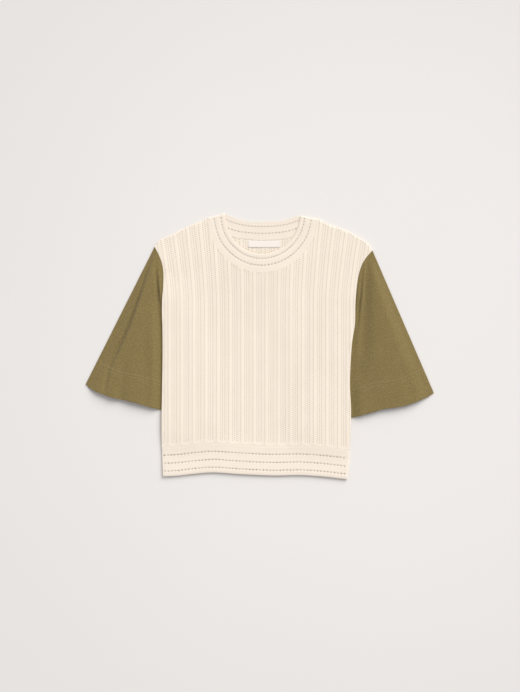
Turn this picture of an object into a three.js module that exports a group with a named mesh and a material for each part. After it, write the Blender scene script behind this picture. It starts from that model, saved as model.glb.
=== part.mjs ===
// A short boxy top laid flat on its back: a ribbed knit body with an eyelet hem band and an eyelet
// neckband, and two woven sleeves tucked a little way under the body's sides.
// Millimetres. +X runs across the top, +Y from the hem to the neck, +Z up from the surface it lies on.
import * as THREE from "three";

// Cloth walls and the gaps between layers and at seams
const KNIT_WALL = 2.0;
const WOVEN_WALL = 1.0;
const LAYER_GAP = 0.3;
const SEAM_GAP = 0.55;
const EDGE_DROP = 0.8;
const EDGE_INSET = 3.0;

// Ribs of the knitted body: open mesh columns with plain raised columns between them
const RIB_PITCH = 25.4;
const RIB_CENTRE = -2.1;
const MESH_HALF_WIDTH = 6.2;
const PLAIN_FROM_CENTRE = 8.7;
const RIB_RISE = 0.6;
const FIRST_RIB = -7;
const LAST_RIB = 7;
const LAST_RIB_X = 170;
const LEAN = 0.087;
const LEAN_START = 100;
const LEAN_REACH = 130;
const LEAN_POWER = 1.3;

// Body rows
const BAND_HEIGHT = 66;
const ROW_SHARES = [0, 0.08, 0.17, 0.26, 0.35, 0.44, 0.52, 0.59, 0.65, 0.7, 0.75, 0.79, 0.83, 0.87, 0.91, 0.95, 0.975, 1];
const ARMHOLE_FROM = 90;
const ARMHOLE_SNAP = 9;
const BACK_STEP = 17;
const BACK_INSET = 0.8;

// Soft lifts of the front cloth off the back
const NECK_LIFT = { x: 3.5, y: 172, reach: 72, height: 2.8 };
const HEM_LIFT = { reach: 46, height: 1.5 };

// Sleeves
const FLAT_SLEEVE = 2 * WOVEN_WALL + LAYER_GAP;
const TUCK_CLEARANCE = FLAT_SLEEVE + 0.5;
const TUCK_PLATEAU = 17;
const TUCK_FALL = 77;
const TUCK_SLACK = 15;
const SLEEVE_LEAVES_SEAM = 0.7;

// Neckband
const BAND_STATIONS = 36;
const BACK_BAND_STATIONS = 22;
const FOLD_ANGLES = [45, 90, 135];
const FOLD_CENTRE_Z = KNIT_WALL + LAYER_GAP / 2;
const FOLD_INSET = 2.0;
const FOLD_EASE = 0.1;

// Neck label, blank
const LABEL = { left: -24.4, right: 42, bottom: 207.7, top: 221.6, wall: 1.0 };

const COLOURS = { knit: 0xf0e4d4, olive: 0x85744c, label: 0xf3eae4 };

const table = (names, ...lines) =>
  lines.map((line) => Object.fromEntries(names.map((name, i) => [name, line[i]])));

// The hem edge from the left corner to the right one
const HEM = table(
  ["x", "y"],
  [-203.1, -272.8],
  [-174.7, -271.5],
  [-135.9, -267.1],
  [-99.5, -264.4],
  [-44.7, -267.8],
  [28.6, -270.9],
  [85.5, -270.1],
  [131, -272.8],
  [183.3, -278.9],
);

// The body's side edges, each from the hem corner up past the underarm to the shoulder tip
const LEFT_EDGE = table(
  ["y", "x"],
  [-272.8, -203.1],
  [-218, -205.4],
  [-172.6, -206.4],
  [-81.5, -204.8],
  [-13, -203.7],
  [43.9, -204.3],
  [66.2, -205.3],
  [100.2, -204.6],
  [127.5, -202.4],
  [155, -202.4],
  [175.4, -205.8],
  [193.6, -212.7],
  [209, -221],
);
const RIGHT_EDGE = table(
  ["y", "x"],
  [-278.9, 183.3],
  [-240.9, 186.9],
  [-195.3, 189],
  [-138, 191.3],
  [-81.5, 189],
  [-35.9, 190.3],
  [9.7, 193.6],
  [44.7, 199.1],
  [86.5, 200.3],
  [113.8, 202.2],
  [136.7, 205],
  [157.1, 209.4],
  [173, 215],
  [189, 225.3],
  [201.6, 236.7],
);

// The shoulder edges, from the tip to the neck and from the neck to the tip
const LEFT_SHOULDER = table(
  ["x", "y"],
  [-221, 209],
  [-209.2, 223],
  [-184.8, 233.3],
  [-156.9, 248],
  [-124.5, 262.1],
  [-110.6, 268.6],
);
const RIGHT_SHOULDER = table(
  ["x", "y"],
  [122.9, 266.5],
  [143.2, 255.8],
  [173, 245.1],
  [196.8, 234.4],
  [226.8, 215],
  [236.7, 201.6],
);

// The neckband's sewn edge and its free edge, from the left shoulder fold to the right one
const FRONT_NECK = table(
  ["seamX", "seamY", "freeX", "freeY"],
  [-109.8, 268.8, -73.7, 278.7],
  [-106.2, 249.7, -70.6, 258.6],
  [-100.2, 228.4, -66.8, 244.6],
  [-90.7, 209.1, -59.4, 230.1],
  [-76.9, 191.7, -49.4, 217.4],
  [-60.2, 176.8, -37.9, 207.2],
  [-40.7, 165.4, -25.3, 199.8],
  [-19.2, 158.4, -11.4, 195.3],
  [3.4, 156, 3.5, 193.7],
  [26, 158.2, 18.7, 195.2],
  [47.7, 164.7, 33.4, 199.6],
  [67.6, 175.2, 46.9, 206.7],
  [85, 189.2, 58.7, 216.2],
  [99.4, 206.1, 68.7, 228],
  [110.8, 225.3, 76.8, 241.7],
  [118.1, 246.3, 82, 256.5],
  [122.2, 266.5, 85.5, 274.1],
);
const BACK_NECK = table(
  ["seamX", "seamY", "freeX", "freeY"],
  [-109.8, 268.8, -73.7, 278.7],
  [-97, 250.5, -66.5, 274.6],
  [-78, 238, -57, 270.6],
  [-57, 229.8, -45.8, 266.9],
  [-32, 225.6, -25, 262.3],
  [-8, 223.4, -6, 261],
  [15, 223.1, 13, 261.2],
  [40, 224.5, 34, 262.3],
  [64, 228.6, 55, 265.6],
  [86, 235.8, 70, 270.4],
  [107, 248.5, 79, 273],
  [122.2, 266.5, 85.5, 274.1],
);

// Columns that follow the steep sides of each neckline: their spacing and reach, as shares of its length
const NECK_COLUMNS = { step: 1 / 26, reach: 0.5 };
const BACK_NECK_COLUMNS = { step: 0.05, reach: 0.5 };

// Rises of the hem band's knitted ridges, by height above the hem edge
const HEM_RIDGES = table(
  ["above", "rise"],
  [0, 0],
  [3, 0.5],
  [10.7, 0],
  [19, 0.5],
  [27, 0],
  [35.5, 0.5],
  [44, 0],
  [53.5, 0.5],
  [61, 0.4],
);

// The neckband's ridges, by share of its width from the sewn edge to the free edge
const NECK_RIDGES = table(
  ["share", "rise"],
  [0, -0.4],
  [0.08, 0.35],
  [0.2, 0.35],
  [0.37, 0],
  [0.56, 0.35],
  [0.75, 0],
  [0.92, 0.35],
  [1, -0.7],
);

// Soft wrinkles of the front cloth: centre, half length along its own direction, half width, height
const WRINKLES = table(
  ["x", "y", "angle", "long", "wide", "height"],
  [-176, 140, 90, 40, 8, -0.5],
  [164, 104, 82, 42, 9, -0.6],
  [-60, -60, 84, 120, 26, 0.7],
  [70, 10, 96, 120, 28, 0.8],
  [-130, -190, 40, 60, 24, 0.5],
  [150, -200, 130, 60, 24, 0.5],
);

// Each sleeve: its free hem from the outer corner to the corner tucked under the body, its armhole
// edge where it dips under the body, its height above the flat cloth by section and its long fold
const LEFT_SLEEVE = {
  name: "sleeve_left",
  side: -1,
  edge: LEFT_EDGE,
  tip: 208.6,
  leaves: 70,
  under: table(["x", "y"], [-205.6, 70], [-201, 56], [-186, 44]),
  hem: table(
    ["x", "y"],
    [-365.4, -79.2],
    [-353.9, -89.9],
    [-331.2, -100.2],
    [-308.3, -108.2],
    [-285.6, -112.8],
    [-262.7, -118.4],
    [-240, -125.2],
    [-212, -132.4],
  ),
  hidden: table(["x", "y"], [-212, -132.4], [-178, -141], [-134, -151]),
  sections: table(["s", "height"], [0, 2.0], [0.12, 3.0], [0.4, 5.2], [0.7, 7.0], [1, 8.6]),
  fold: table(
    ["x", "y", "depth"],
    [-224, 198, 0.4],
    [-235.6, 161.3, 1.6],
    [-254.5, 100.8, 2.6],
    [-275.7, 41.8, 3.4],
    [-296.1, -4.8, 3.6],
    [-316.7, -49.6, 3.0],
    [-325.1, -92.8, 1.6],
    [-327, -104, 1.2],
  ),
  foldWidth: 6,
};
const RIGHT_SLEEVE = {
  name: "sleeve_right",
  side: 1,
  edge: RIGHT_EDGE,
  tip: 201.2,
  leaves: 60,
  under: table(["x", "y"], [200, 60], [195.5, 47], [181, 36]),
  hem: table(
    ["x", "y"],
    [365.4, -97.9],
    [355.1, -104.8],
    [334.7, -113.8],
    [309.5, -123.1],
    [282.2, -128.7],
    [259.6, -131.7],
    [233.5, -139.4],
    [204, -147.4],
  ),
  hidden: table(["x", "y"], [204, -147.4], [170, -154], [125, -163]),
  sections: table(["s", "height"], [0, 2.0], [0.12, 2.8], [0.4, 4.6], [0.7, 6.2], [1, 7.4]),
  fold: table(
    ["x", "y", "depth"],
    [232.6, 196, 0.4],
    [232.3, 145.7, 1.6],
    [231.4, 105.6, 2.2],
    [227.5, 49.4, 2.8],
    [226.5, 11.8, 2.8],
    [230, -28.8, 2.4],
    [238, -60.3, 2.0],
    [248, -87.6, 1.6],
    [260, -125, 0.8],
  ),
  foldWidth: 12,
};
const SLEEVE_SECTIONS = [0, 0.035, 0.08, 0.14, 0.21, 0.3, 0.4, 0.5, 0.6, 0.7, 0.79, 0.87, 0.94, 0.98, 1];

const clamp = (value, low, high) => Math.min(high, Math.max(low, value));
const mix = (a, b, share) => a + (b - a) * share;

function smooth(from, to, value) {
  const t = clamp((value - from) / (to - from), 0, 1);
  return t * t * (3 - 2 * t);
}

// The value of column `out` where column `by` of a table has the given value
function lookUp(lines, by, out, value) {
  const rising = lines[lines.length - 1][by] > lines[0][by];
  const past = (line) => (rising ? line[by] >= value : line[by] <= value);
  const next = clamp(lines.findIndex(past), 1, lines.length - 1);
  const a = lines[next - 1];
  const b = lines[next];
  if (!lines.some(past)) return lines[lines.length - 1][out];
  return mix(a[out], b[out], clamp((value - a[by]) / (b[by] - a[by]), 0, 1));
}

// The point a given share of the way along a table's x, y line
function along(lines, share) {
  const reach = [0];
  for (let i = 1; i < lines.length; i++) {
    reach.push(reach[i - 1] + Math.hypot(lines[i].x - lines[i - 1].x, lines[i].y - lines[i - 1].y));
  }
  const want = share * reach[reach.length - 1];
  const next = clamp(reach.findIndex((r) => r >= want - 1e-9), 1, lines.length - 1);
  const part = (want - reach[next - 1]) / (reach[next] - reach[next - 1]);
  return {
    x: mix(lines[next - 1].x, lines[next].x, part),
    y: mix(lines[next - 1].y, lines[next].y, part),
  };
}

// Distance from a point to a table's line, with the share along the nearest stretch and its row
function nearest(lines, x, y) {
  let best = { distance: Infinity };
  for (let i = 1; i < lines.length; i++) {
    const a = lines[i - 1];
    const b = lines[i];
    const dx = b.x - a.x;
    const dy = b.y - a.y;
    const part = clamp(((x - a.x) * dx + (y - a.y) * dy) / (dx * dx + dy * dy), 0, 1);
    const distance = Math.hypot(x - a.x - part * dx, y - a.y - part * dy);
    if (distance < best.distance) best = { distance, part, row: i };
  }
  return best;
}

// Distance outside a convex polygon, zero inside it
function outside(polygon, x, y) {
  let inside = true;
  let turn = 0;
  polygon.forEach((a, i) => {
    const b = polygon[(i + 1) % polygon.length];
    const cross = (b.x - a.x) * (y - a.y) - (b.y - a.y) * (x - a.x);
    if (turn === 0) turn = Math.sign(cross);
    if (Math.sign(cross) !== turn) inside = false;
  });
  return inside ? 0 : nearest([...polygon, polygon[0]], x, y).distance;
}

// A closed mesh built from rows of points
class Wall {
  constructor() {
    this.positions = [];
    this.index = [];
  }

  row(points) {
    const first = this.positions.length / 3;
    points.forEach((p) => this.positions.push(p.x, p.y, p.z));
    return points.map((_, i) => first + i);
  }

  quad(a, b, c, d) {
    this.index.push(a, b, c, a, c, d);
  }

  // Faces between neighbouring rows; `around` joins each row's end to its start
  surface(rows, { flip = false, around = false, endless = false } = {}) {
    const last = endless ? rows.length : rows.length - 1;
    for (let j = 0; j < last; j++) {
      const a = rows[j];
      const b = rows[(j + 1) % rows.length];
      const count = around ? a.length : a.length - 1;
      for (let i = 0; i < count; i++) {
        const n = (i + 1) % a.length;
        if (flip) this.quad(a[i], b[i], b[n], a[n]);
        else this.quad(a[i], a[n], b[n], b[i]);
      }
    }
  }

  // Faces between an outer row and an inner row that may have fewer points; `at` holds the places
  // of the inner row's points on the outer row
  rim(outer, inner, at, flip) {
    let i = 0;
    let k = 0;
    const add = (a, b, c) => this.index.push(...(flip ? [c, b, a] : [a, b, c]));
    while (i < outer.length - 1 || k < inner.length - 1) {
      if (k < inner.length - 1 && (i === outer.length - 1 || at[k + 1] <= i)) {
        add(inner[k], inner[k + 1], outer[i]);
        k += 1;
      } else {
        add(outer[i + 1], outer[i], inner[k]);
        i += 1;
      }
    }
  }

  mesh(name, colour) {
    const geometry = new THREE.BufferGeometry();
    geometry.setAttribute("position", new THREE.Float32BufferAttribute(this.positions, 3));
    geometry.setIndex(this.index);
    geometry.computeVertexNormals();
    const material = new THREE.MeshStandardMaterial({ color: colour, roughness: 0.9, metalness: 0 });
    const mesh = new THREE.Mesh(geometry, material);
    mesh.name = name;
    return mesh;
  }
}

// A sheet with its outer face up: `outer` and `inner` are rows of points, `at` the inner columns' places
function sheet(name, colour, outer, inner, at) {
  const wall = new Wall();
  const tops = outer.map((points) => wall.row(points));
  const unders = inner.map((points) => wall.row(points));
  const last = tops.length - 1;
  wall.surface(tops);
  wall.surface(unders, { flip: true });
  wall.rim(tops[0], unders[0], at, false);
  wall.rim(tops[last], unders[last], at, true);
  for (let j = 0; j < last; j++) {
    wall.quad(tops[j][0], tops[j + 1][0], unders[j + 1][0], unders[j][0]);
    const a = tops[j].length - 1;
    const b = unders[j].length - 1;
    wall.quad(unders[j][b], unders[j + 1][b], tops[j + 1][a], tops[j][a]);
  }
  return wall.mesh(name, colour);
}

// How far the plain columns lean outwards towards the shoulders
function leanAt(y) {
  return 1 + LEAN * Math.pow(clamp((y - LEAN_START) / LEAN_REACH, 0, 2), LEAN_POWER);
}

function ribRise(x, y) {
  const straight = x / leanAt(y) - RIB_CENTRE + RIB_PITCH / 2;
  const phase = Math.abs(straight - Math.floor(straight / RIB_PITCH) * RIB_PITCH - RIB_PITCH / 2);
  return RIB_RISE * clamp((phase - MESH_HALF_WIDTH) / (PLAIN_FROM_CENTRE - MESH_HALF_WIDTH), 0, 1);
}

// The part of a sleeve that lies under the body, as a polygon
function tuck(sleeve) {
  const crossing = lookUp(sleeve.hem, "y", "x", sleeve.hem[sleeve.hem.length - 1].y);
  return [
    sleeve.under[0],
    sleeve.under[2],
    sleeve.hidden[2],
    { x: crossing, y: sleeve.hem[sleeve.hem.length - 1].y },
  ];
}
const TUCKS = [tuck(LEFT_SLEEVE), tuck(RIGHT_SLEEVE)];

// Rise over a tucked sleeve: full over it, none well away from it, and `wider` by some millimetres
function tuckRise(x, y, wider) {
  const away = Math.min(...TUCKS.map((polygon) => outside(polygon, x, y)));
  return TUCK_CLEARANCE * (1 - smooth(TUCK_PLATEAU + wider, TUCK_FALL + wider, away));
}

// Height of the underside of the body's back over the surface
const bodyBase = (x, y) => tuckRise(x, y, 0);

// Lift of the front cloth off the back cloth
function frontLift(x, y) {
  const fromNeck = Math.hypot(x - NECK_LIFT.x, y - NECK_LIFT.y) / NECK_LIFT.reach;
  const hem = y - lookUp(HEM, "x", "y", x);
  let lift = NECK_LIFT.height * Math.exp(-fromNeck * fromNeck);
  lift += tuckRise(x, y, TUCK_SLACK) - bodyBase(x, y);
  lift += HEM_LIFT.height * (1 - smooth(0, HEM_LIFT.reach, hem));
  for (const w of WRINKLES) {
    const turn = THREE.MathUtils.degToRad(w.angle);
    const u = ((x - w.x) * Math.cos(turn) + (y - w.y) * Math.sin(turn)) / w.long;
    const v = ((y - w.y) * Math.cos(turn) - (x - w.x) * Math.sin(turn)) / w.wide;
    lift += w.height * Math.exp(-u * u - v * v);
  }
  return Math.max(0, lift);
}

const frontUnder = (x, y) => bodyBase(x, y) + KNIT_WALL + LAYER_GAP + frontLift(x, y);

// Smooth curves through a neckline table's sewn and free edges
function neckCurves(lines) {
  const curve = (x, y) =>
    new THREE.CatmullRomCurve3(
      lines.map((line) => new THREE.Vector3(line[x], line[y], 0)),
      false,
      "centripetal",
    );
  return { seam: curve("seamX", "seamY"), free: curve("freeX", "freeY") };
}

// The level direction out of the garment at a shoulder fold
function foldDirection(curves, end) {
  const line = curves.free.getPoint(end).sub(curves.seam.getPoint(end)).normalize();
  const away = new THREE.Vector3(-line.y, line.x, 0);
  return away.y < 0 ? away.negate() : away;
}

// The band's sewn and free edge at a share of its length; its ends sit a little inside the fold
function neckPoint(curves, share) {
  const drop = FOLD_INSET * Math.max(0, 1 - Math.min(share, 1 - share) / FOLD_EASE);
  const away = foldDirection(curves, share < 0.5 ? 0 : 1);
  const seam = curves.seam.getPoint(share).addScaledVector(away, -drop);
  const free = curves.free.getPoint(share).addScaledVector(away, -drop);
  return { seam, free, away };
}

// The panel's neckline, a seam gap outside the neckband's sewn edge
function panelNeck(lines, share) {
  const { seam, free } = neckPoint(neckCurves(lines), share);
  const outward = seam.clone().sub(free).normalize();
  return { x: seam.x + outward.x * SEAM_GAP, y: seam.y + outward.y * SEAM_GAP };
}

function topEdge(neck) {
  const line = Array.from({ length: 161 }, (_, i) => panelNeck(neck, i / 160));
  return [...LEFT_SHOULDER, ...line, ...RIGHT_SHOULDER].sort((a, b) => a.x - b.x);
}

// The height at which a column that starts at x on the hem meets the top edge
function columnTop(x, top) {
  let low = 60;
  let high = 290;
  for (let i = 0; i < 40; i++) {
    const y = (low + high) / 2;
    if (y < lookUp(top, "x", "y", x * leanAt(y))) low = y;
    else high = y;
  }
  return (low + high) / 2;
}

// The columns of a panel, each a function from a row to a point, with its place in the inner wall
function panelColumns(starts, top, inset) {
  const fixed = starts.map((x) => {
    const foot = lookUp(HEM, "x", "y", x) + inset;
    const head = columnTop(x, top) - inset * 0.2;
    return (row) => {
      const y = rowHeight(row, foot, head);
      return { x: x * leanAt(y), y, edge: 0 };
    };
  });
  const side = (edge, inward) => {
    const foot = edge[0].y + inset;
    const head = edge[edge.length - 1].y - inset * 0.2;
    return (row) => {
      const level = rowHeight(row, foot, head);
      const corner = edge.slice(0, -1).find((line) => Math.abs(line.y - level) < ARMHOLE_SNAP);
      const y = row.share && corner && corner.y > ARMHOLE_FROM ? corner.y : level;
      return { x: lookUp(edge, "y", "x", y) + inward * inset, y, edge: 1 };
    };
  };
  const left = side(LEFT_EDGE, 1);
  const right = side(RIGHT_EDGE, -1);
  const between = (a, b, share) => (row) => ({
    x: mix(a(row).x, b(row).x, share),
    y: mix(a(row).y, b(row).y, share),
    edge: 0,
  });
  const inner = fixed[0];
  const outer = fixed[fixed.length - 1];
  return [
    left,
    between(left, inner, 0.24),
    between(left, inner, 0.6),
    ...fixed,
    between(outer, right, 0.3),
    between(outer, right, 0.55),
    between(outer, right, 0.82),
    right,
  ];
}

function rowHeight(row, foot, head) {
  if (row.above !== undefined) return foot + row.above;
  if (row.below !== undefined) return head - row.below;
  return mix(foot + BAND_HEIGHT, head - 2 * EDGE_INSET, row.share);
}

function panelRows(bandRows) {
  const body = ROW_SHARES.map((share) => ({ share }));
  return [...bandRows, ...body, { below: EDGE_INSET * 0.8 }, { below: 0 }];
}

// Where the columns that end on the neckline start on the hem
function neckStarts(lines, spacing) {
  const starts = [];
  for (let share = 0; share <= spacing.reach + 1e-9; share += spacing.step) {
    for (const place of [share, 1 - share]) {
      const p = panelNeck(lines, place);
      starts.push(p.x / leanAt(p.y));
    }
  }
  return starts.filter((x, i) => starts.every((other, k) => k >= i || Math.abs(other - x) > 0.2));
}

function frontPanel() {
  const top = topEdge(FRONT_NECK);
  const atNeck = neckStarts(FRONT_NECK, NECK_COLUMNS);
  const ribs = [];
  for (let k = FIRST_RIB; k <= LAST_RIB; k++) {
    for (const d of [-PLAIN_FROM_CENTRE, -MESH_HALF_WIDTH, MESH_HALF_WIDTH, PLAIN_FROM_CENTRE]) {
      ribs.push(RIB_CENTRE + k * RIB_PITCH + d);
    }
  }
  const kept = ribs.filter((x) => x < LAST_RIB_X && atNeck.every((n) => Math.abs(n - x) > 0.9));
  const starts = [...kept, ...atNeck].sort((a, b) => a - b);
  const columns = panelColumns(starts, top, 0);
  const rows = panelRows(HEM_RIDGES);
  const lastColumn = columns.length - 1;
  const plain = columns
    .map((_, i) => i)
    .filter((i) => {
      const x = starts[i - 3] ?? 999;
      const neck = atNeck.some((n) => Math.abs(n - x) < 1e-6);
      return i < 4 || i > lastColumn - 5 || neck || (Math.abs(x) > 100 && i % 2 === 0);
    });
  const outer = rows.map((row) =>
    columns.map((column) => {
      const { x, y, edge } = column(row);
      const ended = row.above === 0 || row.below === 0;
      const wall = KNIT_WALL - (edge || ended ? EDGE_DROP : 0);
      const rise = edge || ended ? 0 : row.above === undefined ? ribRise(x, y) : row.rise;
      return new THREE.Vector3(x, y, frontUnder(x, y) + wall + rise);
    }),
  );
  const inner = rows.map((row) =>
    plain.map((i) => {
      const { x, y } = columns[i](row);
      return new THREE.Vector3(x, y, frontUnder(x, y));
    }),
  );
  return sheet("front_panel", COLOURS.knit, outer, inner, plain);
}

function backPanel() {
  const top = topEdge(BACK_NECK);
  const atNeck = neckStarts(BACK_NECK, BACK_NECK_COLUMNS);
  const starts = [...atNeck];
  for (let x = -186; x < LAST_RIB_X; x += BACK_STEP) {
    if (atNeck.every((n) => Math.abs(n - x) > 5)) starts.push(x);
  }
  starts.sort((a, b) => a - b);
  const columns = panelColumns(starts, top, BACK_INSET);
  const rows = panelRows([{ above: 0 }, { above: 3 }, { above: 24 }, { above: 45 }]);
  const at = columns.map((_, i) => i);
  const outer = rows.map((row) =>
    columns.map((column) => {
      const { x, y } = column(row);
      return new THREE.Vector3(x, y, bodyBase(x, y) + KNIT_WALL);
    }),
  );
  const inner = rows.map((row) =>
    columns.map((column) => {
      const { x, y } = column(row);
      return new THREE.Vector3(x, y, bodyBase(x, y));
    }),
  );
  return sheet("back_panel", COLOURS.knit, outer, inner, at);
}

// The neckband: one ring that lies over the front, folds at the right shoulder, lies on the back
// and folds again at the left shoulder
function neckband() {
  const wall = new Wall();
  const inside = [1, 0.66, 0.33, 0];

  // A section of the band between its sewn and free edges, with heights of its two faces
  const section = (seam, free, outerZ, innerZ) => {
    const point = (share, z) =>
      new THREE.Vector3(mix(seam.x, free.x, share), mix(seam.y, free.y, share), z);
    return [
      ...NECK_RIDGES.map(({ share, rise }) => point(share, outerZ(point(share, 0), rise))),
      ...inside.map((share) => point(share, innerZ(point(share, 0)))),
    ];
  };

  const half = (lines, count, outerZ, innerZ) => {
    const curves = neckCurves(lines);
    return Array.from({ length: count }, (_, i) => {
      const { seam, free } = neckPoint(curves, i / (count - 1));
      return section(seam, free, outerZ, innerZ);
    });
  };

  // The turn round a shoulder fold, from the front layer down to the back layer
  const turn = (lines, end) => {
    const { seam, free, away } = neckPoint(neckCurves(lines), end);
    return FOLD_ANGLES.map((degrees) => {
      const angle = THREE.MathUtils.degToRad(degrees);
      const fade = Math.max(0, Math.cos(angle));
      const place = (share, radius) => {
        const p = new THREE.Vector3(mix(seam.x, free.x, share), mix(seam.y, free.y, share), 0);
        p.addScaledVector(away, Math.sin(angle) * radius);
        p.z = FOLD_CENTRE_Z + Math.cos(angle) * radius;
        return p;
      };
      return [
        ...NECK_RIDGES.map(({ share, rise }) => {
          const raised = rise < 0 ? rise : rise * fade;
          return place(share, LAYER_GAP / 2 + KNIT_WALL + raised);
        }),
        ...inside.map((share) => place(share, LAYER_GAP / 2)),
      ];
    });
  };

  const frontZ = (p) => KNIT_WALL + LAYER_GAP + frontLift(p.x, p.y);
  const frontOuter = (p, rise) => frontZ(p) + KNIT_WALL + rise;
  const backOuter = (_, rise) => Math.max(0, -rise);
  const loops = [
    ...half(FRONT_NECK, BAND_STATIONS, frontOuter, frontZ),
    ...turn(FRONT_NECK, 1),
    ...half(BACK_NECK, BACK_BAND_STATIONS, backOuter, () => KNIT_WALL).reverse(),
    ...turn(FRONT_NECK, 0).reverse(),
  ];
  const rows = loops.map((points) => wall.row(points));
  wall.surface(rows, { around: true, endless: true, flip: true });
  return wall.mesh("neckband", COLOURS.knit);
}

// A sleeve: a woven tube laid flat, folded along its top and sewn along its underarm, open at the
// hem and at the armhole
function sleeve(spec) {
  const armhole = (t) => {
    if (t > SLEEVE_LEAVES_SEAM) {
      return along(spec.under, (t - SLEEVE_LEAVES_SEAM) / (1 - SLEEVE_LEAVES_SEAM));
    }
    const y = mix(spec.tip, spec.leaves, t / SLEEVE_LEAVES_SEAM);
    return { x: lookUp(spec.edge, "y", "x", y) + spec.side * SEAM_GAP, y };
  };
  const hem = (t) =>
    t > SLEEVE_LEAVES_SEAM
      ? along(spec.hidden, (t - SLEEVE_LEAVES_SEAM) / (1 - SLEEVE_LEAVES_SEAM))
      : along(spec.hem, t / SLEEVE_LEAVES_SEAM);
  const plan = (s, t) => {
    const a = armhole(t);
    const b = hem(t);
    return { x: mix(a.x, b.x, s), y: mix(a.y, b.y, s) };
  };

  // Height of the upper layer's outer face
  const upper = (s, t) => {
    const { x, y } = plan(s, t);
    const start = plan(s, 0);
    const fromFold = Math.hypot(x - start.x, y - start.y);
    const clearOfBody = smooth(3, 30, spec.side * (x - lookUp(spec.edge, "y", "x", y)));
    const aboveTuck = smooth(spec.leaves + 8, spec.leaves + 55, y);
    const free = 1 - (1 - clearOfBody) * (1 - aboveTuck);
    const fold = nearest(spec.fold, x, y);
    const depth = mix(spec.fold[fold.row - 1].depth, spec.fold[fold.row].depth, fold.part);
    const trough = depth * Math.exp(-Math.pow(fold.distance / spec.foldWidth, 2));
    const height = lookUp(spec.sections, "s", "height", s) * smooth(0, 20, fromFold) - trough;
    return FLAT_SLEEVE + free * Math.max(0, height);
  };

  // Places round the upper layer, closer together at the long fold
  const places = (s) => {
    const a = plan(s, 0);
    const b = plan(s, 1);
    const width = Math.hypot(b.x - a.x, b.y - a.y);
    let fold = 0.1;
    let best = Infinity;
    for (let t = 0.02; t <= 0.9; t += 0.005) {
      const p = plan(s, t);
      const { distance } = nearest(spec.fold, p.x, p.y);
      if (distance < best) {
        best = distance;
        fold = t;
      }
    }
    const step = clamp(spec.foldWidth / width, 0.012, fold / 2.2);
    const edge = Math.min(EDGE_INSET / width, (fold - 2 * step) / 2 + 0.002);
    const knots = [0, edge, mix(edge, fold - 2 * step, 0.5), fold - 2 * step, fold - step, fold, fold + step, fold + 2 * step];
    const from = fold + 2 * step;
    const rest = 11;
    for (let i = 1; i <= rest; i++) knots.push(mix(from, 1 - EDGE_INSET / width, i / rest));
    return { width, list: [...knots, 1] };
  };

  const wall = new Wall();
  const outerRows = [];
  const innerRows = [];
  for (const s of SLEEVE_SECTIONS) {
    const { width, list } = places(s);
    const lower = [1, 1 - EDGE_INSET / width, 0.86, 0.7, 0.56, 0.42, 0.28, 0.14, EDGE_INSET / width, 0];
    const inset = WOVEN_WALL / width;
    const last = list.length - 1;
    const vector = (t, z) => {
      const p = plan(s, t);
      return new THREE.Vector3(p.x, p.y, z);
    };
    const isEnd = (i, count) => i === 0 || i === count;
    outerRows.push([
      ...list.map((t, i) => vector(t, isEnd(i, last) ? FLAT_SLEEVE - 0.5 : upper(s, t))),
      ...lower.map((t, i) => vector(t, isEnd(i, lower.length - 1) ? 0.5 : 0)),
    ]);
    innerRows.push([
      ...list.map((t, i) =>
        isEnd(i, last)
          ? vector(clamp(t, inset, 1 - inset), WOVEN_WALL + LAYER_GAP)
          : vector(t, upper(s, t) - WOVEN_WALL),
      ),
      ...lower.map((t) => vector(clamp(t, inset, 1 - inset), WOVEN_WALL)),
    ]);
  }
  const outer = outerRows.map((points) => wall.row(points));
  const inner = innerRows.map((points) => wall.row(points));
  const flip = spec.side > 0;
  wall.surface(outer, { around: true, flip: !flip });
  wall.surface(inner, { around: true, flip });
  for (const [end, turned] of [[0, flip], [outer.length - 1, !flip]]) {
    wall.surface([outer[end], inner[end]], { around: true, flip: turned });
  }
  return wall.mesh(spec.name, COLOURS.olive);
}

// The blank label, lying on the back just under its neck seam
function label() {
  const columns = [0, 0.02, 0.25, 0.5, 0.75, 0.98, 1];
  const rows = [0, 0.08, 0.5, 0.92, 1];
  const face = (extra, edgeDrop) =>
    rows.map((v) =>
      columns.map((u) => {
        const x = mix(LABEL.left, LABEL.right, u);
        const y = mix(LABEL.bottom, LABEL.top, v);
        const drop = u === 0 || u === 1 || v === 0 || v === 1 ? edgeDrop : 0;
        return new THREE.Vector3(x, y, bodyBase(x, y) + KNIT_WALL + LAYER_GAP + extra - drop);
      }),
    );
  return sheet("neck_label", COLOURS.label, face(LABEL.wall, 0.3), face(0, 0), columns.map((_, i) => i));
}

const top = new THREE.Group();
const body = new THREE.Group();
body.add(backPanel(), frontPanel(), neckband(), label());
const sleeves = new THREE.Group();
sleeves.add(sleeve(LEFT_SLEEVE), sleeve(RIGHT_SLEEVE));
top.add(body, sleeves);

// The origin is the bottom centre of the whole top
const extent = new THREE.Box3().setFromObject(top);
const middle = extent.getCenter(new THREE.Vector3());
top.position.set(-middle.x, -middle.y, -extent.min.z);

export default top;
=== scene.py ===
"""A short boxy top laid flat on its back: a ribbed knit body with eyelet bands and two woven sleeves.

Tables and sizes are in millimetres in the top's own plan: x runs across, y from the hem to the neck and
z up from the surface. Meshes are made in metres, in the frame's own place.
"""
import logging
import math
from dataclasses import dataclass, field
from enum import Enum
from functools import lru_cache

import bpy
import numpy as np
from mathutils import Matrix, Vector
from mathutils.geometry import delaunay_2d_cdt
from mathutils.kdtree import KDTree


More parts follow.
